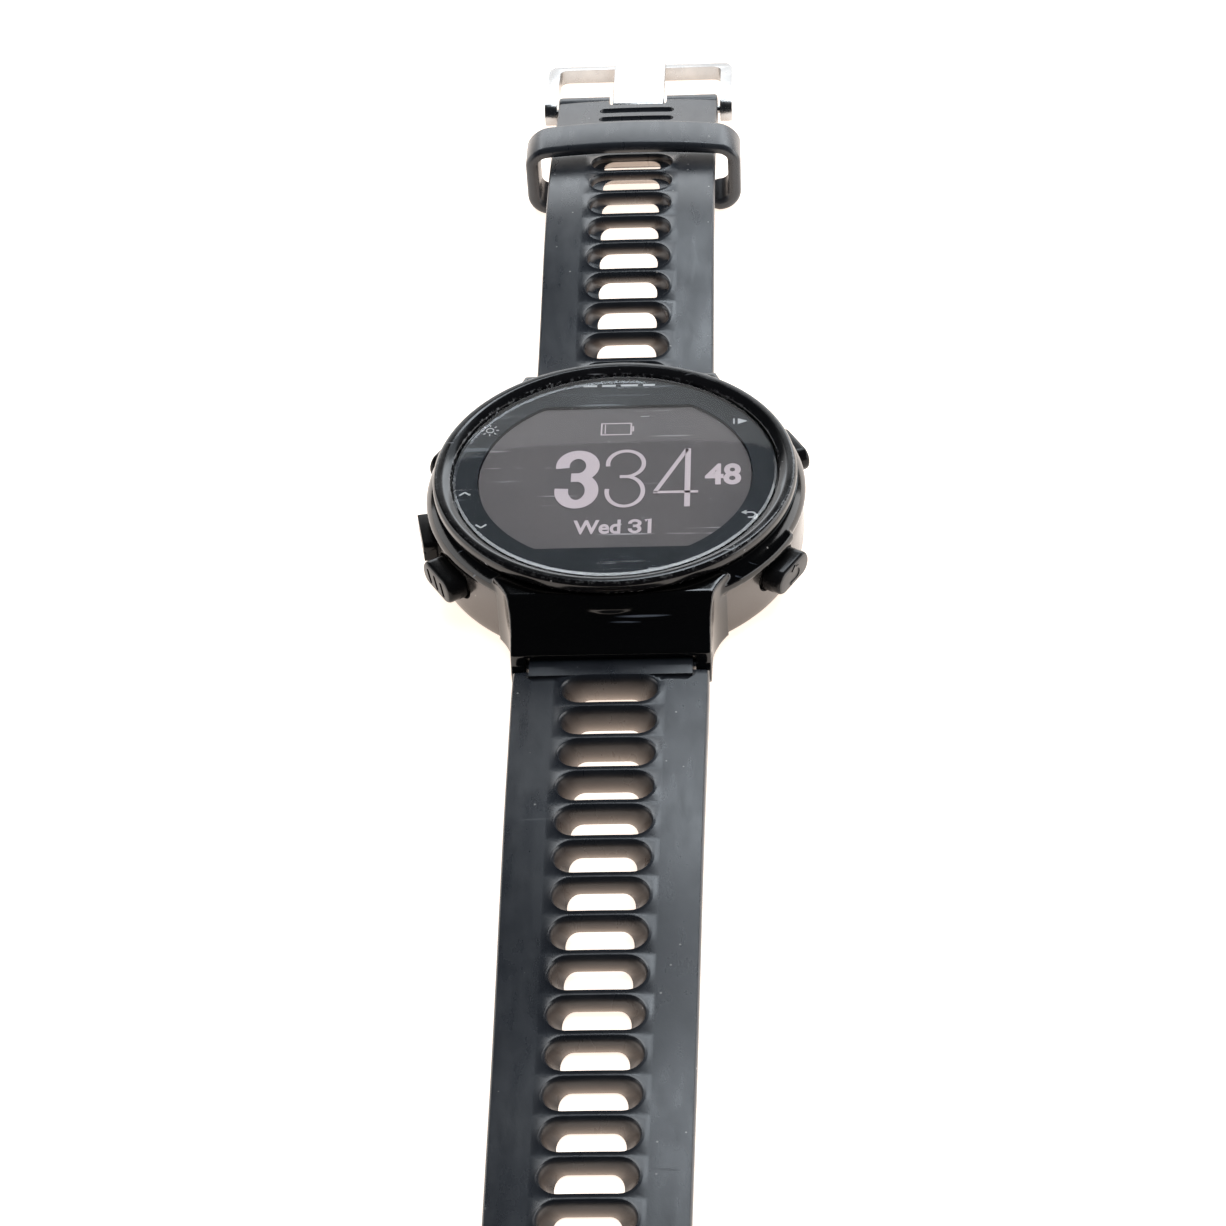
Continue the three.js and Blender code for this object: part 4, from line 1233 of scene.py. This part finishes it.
@dataclass
class Strap:
    """One half of the strap, modelled towards +Y from its lug.

    A slot cell is drawn once, as rings grown outwards from the slot, and repeated along the strap.
    Side columns and end rows are pulled from its edges, and the sheet then gets its thickness.
    """

    slots: int
    first_slot: float
    end: float
    half_width: float = 10.75
    pitch: float = 5.12
    slot_radius: float = 1.9
    slot_reach: float = 3.1
    cell_half: float = 6.2
    lip: tuple[Point, ...] = ((0, -0.8), (0.1, -0.35), (0.22, 0.02), (0.34, 0.15), (0.48, 0.08), (0.62, 0))
    crown: float = 0.38
    under_squeeze: float = 0.27
    pin: Point = (23.6, 2.7)
    barrel: float = 1.9
    neck_half: float = 8.95
    start: float = 25.95

    def top(self, y: float) -> float:
        """Height of the strap's top."""
        raise NotImplementedError

    def thickness(self, y: float) -> float:
        """Thickness of the strap."""
        raise NotImplementedError

    def width(self, y: float) -> float:
        """Half the strap's width."""
        return self.half_width

    def relief(self, y: float) -> float:
        """How far the underside is thinned beside a slot."""
        return 0.0

    def _corner(self) -> float:
        """The angle from a slot's end centre to the cell's corner, in degrees."""
        return math.degrees(math.atan2(self.pitch / 2, self.cell_half - self.slot_reach))

    def _angles(self) -> list[float]:
        """The angles of the points round a slot's right end."""
        half = [0, 13, 26, self._corner(), 52, 64, 77, 90]
        return [-a for a in half[:0:-1]] + half

    def _ring(self, grow: float) -> list[Point]:
        """Points round the slot, widened by grow."""
        radius = self.slot_radius + grow
        right = [(self.slot_reach + x, y) for x, y in (polar(radius, a) for a in self._angles())]
        along = [(self.slot_reach * share, radius) for share in (0.6, 0.2, -0.2, -0.6)]
        half = right + along
        return half + [(-x, -y) for x, y in half]

    def _edge(self) -> list[Point]:
        """Points round the cell, one for each point of a ring."""
        side, half_pitch = self.cell_half - self.slot_reach, self.pitch / 2
        right = []
        for angle in self._angles():
            slope = math.tan(math.radians(angle))
            if abs(angle) <= self._corner() + 0.01:
                right.append((self.cell_half, side * slope))
            elif abs(angle) < 89:
                right.append((self.slot_reach + half_pitch / abs(slope), math.copysign(half_pitch, angle)))
            else:
                right.append((self.slot_reach, math.copysign(half_pitch, angle)))
        along = [(self.slot_reach * share, half_pitch) for share in (0.6, 0.2, -0.2, -0.6)]
        half = right + along
        return half + [(-x, -y) for x, y in half]

    def _cell(self, name: str) -> Piece:
        """The first slot's cell, grown ring by ring."""
        rings = [self._ring(grow) for grow, _ in self.lip] + [self._edge()]
        bpy.ops.mesh.primitive_circle_add(vertices=len(rings[0]), radius=MM, fill_type="NOTHING")
        cell = named(name)
        for vertex, (x, y) in zip(cell.data.vertices, rings[0]):
            vertex.co = mm(x, y + self.first_slot, 0)
        with editing(cell):
            for here, there in zip(rings, rings[1:]):
                pick_edges(cell, lambda a, b, ring=here: self._on(ring, a) and self._on(ring, b))
                bpy.ops.mesh.extrude_edges_move()
                shape = bmesh.from_edit_mesh(cell.data)
                for vertex in [v for v in shape.verts if v.select]:
                    vertex.co = mm(*there[self._nearest(here, vertex.co / MM)], 0) + mm(0, self.first_slot, 0)
                bmesh.update_edit_mesh(cell.data)
        return cell

    def _nearest(self, ring: Sequence[Point], place: Vector) -> int:
        """Which point of a ring lies at a place."""
        distances = [math.hypot(place.x - x, place.y - self.first_slot - y) for x, y in ring]
        return distances.index(min(distances))

    def _on(self, ring: Sequence[Point], place: Vector) -> bool:
        """True where a place is one of a ring's points."""
        x, y = ring[self._nearest(ring, place)]
        return math.hypot(place.x - x, place.y - self.first_slot - y) < 0.01

    def _pull(self, piece: Piece, test: Callable[[Vector], bool], steps: Sequence[Sequence[float]]) -> None:
        """Pulls the open edges that pass a test outwards, step by step."""
        with editing(piece):
            pick_edges(piece, lambda a, b: test(a) and test(b), rim=True)
            for step in steps:
                bpy.ops.mesh.extrude_edges_move(TRANSFORM_OT_translate={"value": mm(*step)})

    def sheet(self, name: str) -> Piece:
        """The flat sheet with its slots, not yet bent or thickened."""
        sheet = self._cell(name)
        modify(sheet, "ARRAY", count=self.slots, use_relative_offset=False, use_constant_offset=True,
               constant_offset_displace=(0, self.pitch * MM, 0), use_merge_vertices=True,
               merge_threshold=MERGE * MM)
        columns = [0.9, 1.2, 1.1, 0.7, 0.4, 0.25]
        for side in (-1, 1):
            self._pull(sheet, lambda p, s=side: abs(p.x - s * self.cell_half) < 0.01,
                       [(side * step, 0, 0) for step in columns])
        low = self.first_slot - self.pitch / 2
        high = self.first_slot + self.pitch * (self.slots - 0.5)
        if low - self.start > 0.05:
            self._pull(sheet, lambda p: abs(p.y - low) < 0.01, [(0, self.start - low, 0)])
        rows = max(1, round((self.end - high) / 0.8))
        self._pull(sheet, lambda p: abs(p.y - high) < 0.01, [(0, (self.end - high) / rows, 0)] * rows)
        return sheet

    def _from_slot(self, x: float, y: float) -> float:
        """How far a place lies outside the nearest slot's edge."""
        index = min(self.slots - 1, max(0, round((y - self.first_slot) / self.pitch)))
        away = math.hypot(max(abs(x) - self.slot_reach, 0), y - self.first_slot - self.pitch * index)
        return away - self.slot_radius

    def _lip_height(self, grow: float) -> float:
        """How far a slot's raised lip stands above the strap, by the distance from its edge."""
        for (g0, h0), (g1, h1) in zip(self.lip, self.lip[1:]):
            if grow <= g1:
                return h0 + (h1 - h0) * max(0.0, grow - g0) / (g1 - g0)
        return 0.0

    def _bent(self, place: Vector) -> Vector:
        """Where a point of the thick flat sheet goes on the real strap.

        Walls stay square to the top. A slot's end walls lean in towards the underside.
        """
        x, y = place.x, place.y
        grow = self._from_slot(x, y)
        thick = self.thickness(y)
        slope = math.atan((self.top(y + 0.1) - self.top(y - 0.1)) / 0.2)
        rise = -self.crown * (abs(x) / self.half_width) ** 2.2
        if place.z > -0.5:
            depth = -place.z
            rise += self._lip_height(grow) if place.z > -0.01 else 0.0
        else:
            near = 1 - smoothstep(grow, 0.0, 1.1)
            depth = thick - (1 + place.z) - self.relief(y) * near
            rise *= 0.2
            x *= 1 - self.under_squeeze * near
        height = self.top(y) + rise - depth * math.cos(slope)
        across = x * self.width(y) / self.half_width
        return Vector((across, y + depth * math.sin(slope), max(0.0, height)))

    def _on_rim(self, place: Vector) -> bool:
        """True on the outer edge of the flat sheet."""
        along = (self.start, self.end)
        return abs(abs(place.x) - self.half_width) < 0.01 or min(abs(place.y - y) for y in along) < 0.01

    def body(self, name: str) -> Piece:
        """The strap without its ends' details: sheet, thickness, bend, soft edges and lug barrel."""
        strap = self.sheet(name)
        with editing(strap):
            bpy.ops.mesh.normals_make_consistent(inside=False)
        if strap.data.polygons[0].normal.z < 0:
            with editing(strap):
                bpy.ops.mesh.flip_normals()
        modify(strap, "SOLIDIFY", thickness=MM, offset=-1.0, use_rim=True)
        round_edges(strap, 0.42, 4,
                    lambda a, b: self._on_rim(a) and self._on_rim(b) and abs(a.z - b.z) < 0.01)
        reshape(strap, self._bent)
        heal(strap)
        y, z = self.pin
        neck_top = self.top(self.start)
        neck_bottom = neck_top - self.thickness(self.start) + 0.1
        neck = block("neck", (-self.neck_half, y, neck_bottom), (self.neck_half, self.start + 1.2, neck_top + 0.02))
        barrel = bar("barrel", self.barrel, (-self.neck_half, y, z), (self.neck_half, y, z), 64)
        weld(barrel, neck)
        soften(barrel, 0.2, 3)
        weld(strap, barrel)
        return cut(strap, bar("pin_bore", 0.95, (-12, y, z), (12, y, z), 40))

    def mark_depth(self, strap: Piece) -> None:
        """Stores how deep each point lies below the strap's top, which places the painted shade and painted bounce
        light on the slot walls.
        """
        depth = strap.data.attributes.new(DEPTH, "FLOAT", "POINT")
        for vertex, item in zip(strap.data.vertices, depth.data):
            x, y, z = vertex.co / MM
            inside = abs(x) < self.slot_reach + self.slot_radius + 0.4 and y > self.start + 0.3
            share = (self.top(y) - z) / (self.thickness(y) - self.relief(y)) if inside else 0.0
            item.value = min(1.0, max(0.0, share))


@dataclass
class LongStrap(Strap):
    """The strap's 6 o'clock half: it comes down onto the table and ends in a round tip."""

    slots: int = 21
    first_slot: float = 29.5
    end: float = 142.9
    taper_start: float = 30.0
    tip_start: float = 133.6
    tip_half: float = 9.35

    def top(self, y: float) -> float:
        """Level at the lug, then down to the table."""
        return 4.4 - 2.3 * smoothstep(y, 44, 86)

    def thickness(self, y: float) -> float:
        """Thickest at the lug."""
        return 3.3 - 1.2 * smoothstep(y, 28, 62)

    def width(self, y: float) -> float:
        """Tapers slightly, then rounds off to the tip."""
        share = min(1.0, max(0.0, (y - self.taper_start) / (self.tip_start - self.taper_start)))
        half = self.half_width + (self.tip_half - self.half_width) * share
        along = max(0.0, y - self.tip_start) / (self.end + 0.1 - self.tip_start)
        return half * math.sqrt(max(0.0, 1 - along * along))

    def build(self) -> Piece:
        """Makes the strap and turns it to 6 o'clock."""
        strap = self.body("long_band")
        self.mark_depth(strap)
        turned_strap = copied(strap, "long_band_turned", 180)
        bpy.data.objects.remove(strap)
        turned_strap.name = "long_band"
        return settle(turned_strap, "long_strap", "strap_rubber", "long_strap", angle=50)


@dataclass
class ShortStrap(Strap):
    """The strap's 12 o'clock half: one gentle arch, with the buckle's barrel at its end."""

    slots: int = 9
    first_slot: float = 28.6
    end: float = 91.4
    start: float = 26.04
    buckle_pin: Point = (92.0, 2.2)
    buckle_barrel: float = 2.1
    notch_half: float = 3.9

    def top(self, y: float) -> float:
        """One arch over its whole length."""
        return 4.0 + 4.8 * math.sin(math.pi * (y - 24) / 76) ** 2

    def thickness(self, y: float) -> float:
        """Thick at both ends."""
        return 3.2 - 0.9 * smoothstep(y, 26, 42) + 1.4 * smoothstep(y, 78, 91)

    def relief(self, y: float) -> float:
        """Thinned most near the keeper."""
        return 0.85 + 0.7 * smoothstep(y, 59, 69)

    def build(self) -> Piece:
        """Makes the strap, its buckle end and its grip grooves."""
        strap = self.body("short_band")
        y, z = self.buckle_pin
        weld(strap, soften(bar("end_barrel", self.buckle_barrel, (-self.half_width, y, z),
                               (self.half_width, y, z), 64), 0.4, 4))
        notch = block("notch", (-self.notch_half, y - 2.3, -1), (self.notch_half, y + 4, 8))
        round_edges(notch, 0.6, 6, lambda a, b: abs(a.z - b.z) > 3)
        cut(strap, notch, bar("bar_bore", 0.9, (-12, y, z), (12, y, z), 40))
        for length, place in ((5.3, 82.2), (10.0, 84.8), (10.0, 87.7)):
            level = self.top(place) + 0.12
            groove = bar("groove", 0.85, (-length / 2, place, level), (length / 2, place, level), 24)
            cut(strap, soften(groove, 0.75, 6))
        self.mark_depth(strap)
        return settle(strap, "short_strap", "strap_rubber", "short_strap", angle=50)


@dataclass
class Keeper:
    """The loop that holds the strap's tail."""

    wall: float = 1.65
    corner: float = 2.9
    crown: float = 1.0
    bridge: tuple[float, float] = (72.4, 74.8)
    bridge_thin: float = 0.5

    def build(self) -> Piece:
        """A box with round corners, opened right through and softened."""
        low, high = node_box("strap_keeper")
        loop = block("keeper_loop", low, high)
        round_edges(loop, self.corner, 10, lambda a, b: abs(a.y - b.y) > 2)
        with editing(loop):
            pick_faces(loop, lambda middle, normal: abs(normal.y) > 0.9)
            bpy.ops.mesh.inset(thickness=self.wall * MM)
            bpy.ops.mesh.bridge_edge_loops()
        heal(loop)
        soften(loop, 0.72, 6, 50)
        with editing(loop):
            for share in range(-6, 7):
                bpy.ops.mesh.select_all(action="SELECT")
                bpy.ops.mesh.bisect(plane_co=mm(share * 1.6, 0, 0), plane_no=(1, 0, 0))
        middle = (low.z + high.z) / 2

        def crowned(p: Vector) -> Vector:
            """Lets the top fall off towards both sides, and narrows the bridge under the strap."""
            share = smoothstep(p.z, middle, high.z)
            place = p - Vector((0, 0, self.crown * share * (abs(p.x) / high.x) ** 2))
            if p.z < self.wall + 0.1:
                slim = 1 - smoothstep(abs(p.x), 7.5, 11.0)
                along = (p.y - low.y) / (high.y - low.y)
                narrow = self.bridge[0] + along * (self.bridge[1] - self.bridge[0])
                place.y += slim * (narrow - place.y)
                place.z *= 1 - self.bridge_thin * slim
            return place

        reshape(loop, crowned)
        return settle(loop, "keeper", "strap_rubber", "strap_keeper", angle=50)


@dataclass
class Buckle:
    """The steel buckle: frame, prong and spring bar."""

    pivot: Point = (92.0, 2.2)
    cross_bar: Point = (104.3, 1.0)
    half_width: float = 12.7
    arm_inner: float = 11.1
    prong_half: float = 3.5
    prong_thickness: float = 1.4
    corner: float = 2.6

    def frame(self) -> Piece:
        """Two flat arms and a cross bar, cut from one block with round outer corners."""
        (y0, z0), (y1, z1) = self.pivot, self.cross_bar
        fall = math.degrees(math.atan2(z0 - z1, y1 - y0))
        side = arc((y0, z0), 1.6, 90 - fall, 270 - fall, 24) + arc((y1, z1), 1.0, -90 - fall, 90 - fall, 16)
        body = beam("buckle", side, -self.half_width, self.half_width)
        reach = y1 + 1.0
        corner = self.corner
        right = [(self.half_width, y0 - 3)] + arc((self.half_width - corner, reach - corner), corner, 0, 90, 14)
        plan = plate("plan", right + [(-x, y) for x, y in reversed(right)], -1, 6)
        combine(body, [plan], "INTERSECT")
        opening = block("opening", (-self.arm_inner, y0 - 4, -2), (self.arm_inner, y1 - 0.95, 8))
        round_edges(opening, 1.2, 8, lambda a, b: abs(a.z - b.z) > 3 and a.y > y0)
        cut(body, opening)
        soften(body, 0.32, 4, 50)
        cut(body, bar("sockets", 0.65, (-12.3, y0, z0), (12.3, y0, z0), 32))
        return settle(body, "buckle", "steel", "buckle_frame")

    def prong(self) -> Piece:
        """The broad prong: a barrel on the spring bar and a flat tongue to the cross bar."""
        y0, z0 = self.pivot
        top = z0 + 1.5
        tip = 105.5
        section = arc((y0, z0), 1.5, 90, 270 + 51, 28)
        section += [(y0 + 2, top - self.prong_thickness), (tip, 2.15), (tip + 0.3, 2.6), (tip - 0.3, 3.55)]
        prong = beam("buckle_tongue", section, -self.prong_half, self.prong_half)
        round_edges(prong, 0.9, 6, lambda a, b: abs(a.z - b.z) > 0.3 and min(a.y, b.y) > 104 and abs(a.x - b.x) < 0.1)
        soften(prong, 0.28, 4, 35)
        cut(prong, bar("bore", 0.85, (-5, y0, z0), (5, y0, z0), 32))
        return settle(prong, "prong", "steel", "buckle_prong")

    def spring_bar(self) -> Piece:
        """The sprung bar with its two thin ends."""
        y, z = self.pivot
        rod = bar("sprung_bar", 0.7, (-10.6, y, z), (10.6, y, z), 40)
        weld(rod, bar("ends", 0.5, (-12.1, y, z), (12.1, y, z), 32))
        soften(rod, 0.1, 3)
        return settle(rod, "short_strap", "steel", "buckle_spring_bar")

    def build(self) -> None:
        """Makes the three pieces."""
        self.frame()
        self.prong()
        self.spring_bar()


@dataclass
class LugHardware:
    """The socket screws in the horns."""

    pin: Point = (23.6, 2.7)

    def build(self) -> None:
        """Makes the four screws."""
        y0, z = self.pin
        for place, sign in (("top", 1), ("bottom", -1)):
            for side, out in (("left", -1), ("right", 1)):
                y = sign * y0
                screw = bar(f"{place}_screw_{side}", 1.05, (out * 10.25, y, z), (out * 10.85, y, z), 40)
                weld(screw, bar("shank", 0.4, (out * 8.5, y, z), (out * 10.4, y, z), 24))
                soften(screw, 0.12, 3)
                cut(screw, bar("socket", 0.36, (out * 10.55, y, z), (out * 11, y, z), 6))
                settle(screw, "case", "steel", f"{place}_lug_screw_{side}")


def dress_inner_parts() -> None:
    """Gives every CAD node the finish of its slot in the record."""
    for part in frame["record"]["subparts"]:
        dress(frame["nodes"][part["node"]], part["material_slot"])
        log.info("%s: finish %s", part["node"], part["material_slot"])


# ---------- the studio ----------


@dataclass
class Studio:
    """A pale floor under soft light, and the camera."""

    azimuth: float = 4.238
    elevation: float = 39.893
    roll: float = 3.832
    distance: float = 371.967
    lens: float = 99.72
    target: tuple[float, float, float] = (0.3, -21.009, 8.0)

    def camera(self) -> None:
        """Places the camera by its angles round the target."""
        a, e, r = (math.radians(v) for v in (self.azimuth, self.elevation, self.roll))
        back = Vector((math.sin(a) * math.cos(e), -math.cos(a) * math.cos(e), math.sin(e)))
        right = Vector((math.cos(a), math.sin(a), 0))
        up = back.cross(right)
        across = right * math.cos(r) - up * math.sin(r)
        above = right * math.sin(r) + up * math.cos(r)
        data = bpy.data.cameras.new("camera")
        data.lens = self.lens
        data.sensor_width = 36
        data.clip_start = 0.01
        data.clip_end = 50
        camera = bpy.data.objects.new("camera", data)
        turn = Matrix((across, above, back)).transposed().to_4x4()
        camera.matrix_world = Matrix.Translation(mm(*self.target) + back * self.distance * MM) @ turn
        bpy.context.scene.collection.objects.link(camera)
        bpy.context.scene.camera = camera

    def floor(self) -> None:
        """A wide pale floor that stays almost white under the light."""
        bpy.ops.object.select_all(action="DESELECT")
        bpy.ops.mesh.primitive_plane_add(size=6.0, location=(0, 0, -0.0002))
        floor = named("floor")
        material = bpy.data.materials.new("pale_floor")
        material.use_nodes = True
        wires = Wiring(material.node_tree)
        shader = next(n for n in material.node_tree.nodes if n.type == "BSDF_PRINCIPLED")
        tone = wires.blend(wires.noise(3.0), (0.9, 0.89, 0.87, 1), (0.92, 0.91, 0.89, 1))
        wires.feed(shader.inputs["Base Color"], tone)
        shader.inputs["Roughness"].default_value = 0.8
        shader.inputs["Specular IOR Level"].default_value = 0.1
        shader.inputs["Emission Color"].default_value = (1.0, 0.84, 0.72, 1)
        shader.inputs["Emission Strength"].default_value = 1.1
        floor.data.materials.append(material)

    @staticmethod
    def lamp(name: str, place: Sequence[float], aim: Sequence[float], size: Point, power: float,
             colour: Colour = (1, 1, 1)) -> bpy.types.Object:
        """One soft rectangular light.

        Args:
            name: its name.
            place: where it stands, in metres.
            aim: the point that it faces, in metres.
            size: its width and height in metres.
            power: its power in watts.
            colour: its linear colour.

        Returns:
            The light.
        """
        data = bpy.data.lights.new(name, "AREA")
        data.shape = "RECTANGLE"
        data.size, data.size_y = size
        data.energy = power
        data.color = colour
        light = bpy.data.objects.new(name, data)
        light.location = place
        light.rotation_euler = (Vector(aim) - Vector(place)).to_track_quat("-Z", "Y").to_euler()
        bpy.context.scene.collection.objects.link(light)
        return light

    def world(self) -> None:
        """A dim room of one faintly blue grey."""
        world = bpy.data.worlds.new("room")
        world.use_nodes = True
        back = next(n for n in world.node_tree.nodes if n.type == "BACKGROUND")
        back.inputs["Color"].default_value = (0.75, 0.85, 1.0, 1)
        back.inputs["Strength"].default_value = 0.03
        bpy.context.scene.world = world

    def build(self) -> None:
        """Sets up camera, floor, room and lamps."""
        self.camera()
        self.floor()
        self.world()
        overhead = self.lamp("overhead", (0.05, 0.0, 0.7), (0, 0, 0), (0.7, 0.6), 2.8)
        overhead.visible_glossy = False
        self.lamp("left_wall", (-0.7, 0.1, 0.14), (0, 0, 0), (0.9, 0.26), 1.3)
        self.lamp("right_wall", (0.7, 0.15, 0.16), (0, 0, 0), (0.9, 0.3), 2.6)
        self.lamp("backdrop", (0.0, 0.85, 0.32), (0, 0, 0.32), (1.2, 0.64), 3.4)
        self.lamp("back_right", (0.32, 0.6, 0.5), (0, 0.03, 0), (0.36, 0.4), 0.55, (0.85, 0.93, 1.0))
        self.lamp("above_far", (0.13, 0.4, 0.52), (0, 0.05, 0), (0.36, 0.12), 0.95, (0.85, 0.93, 1.0))
        self.lamp("upper_right", (0.19, 0.42, 0.66), (0, -0.08, 0), (0.32, 0.26), 0.14)
        self.lamp("far_low", (0.04, 0.35, 0.15), (0, 0.08, 0), (0.5, 0.12), 0.42, (0.85, 0.93, 1.0))
        view = bpy.context.scene.view_settings
        view.view_transform = "Standard"
        view.look = "None"


def main() -> None:
    """Builds the watch, piece by piece, and the studio round it."""
    logging.basicConfig(level=logging.INFO, format="%(message)s")
    dress_inner_parts()
    buttons = SideButtons()
    shells = CaseShells()
    shells.upper()
    shells.lower([angle for angle, _ in buttons.places.values()])
    Front().build()
    Back().build()
    buttons.build()
    LongStrap().build()
    ShortStrap().build()
    Keeper().build()
    Buckle().build()
    LugHardware().build()
    Studio().build()


if __name__ == "__main__":
    main()
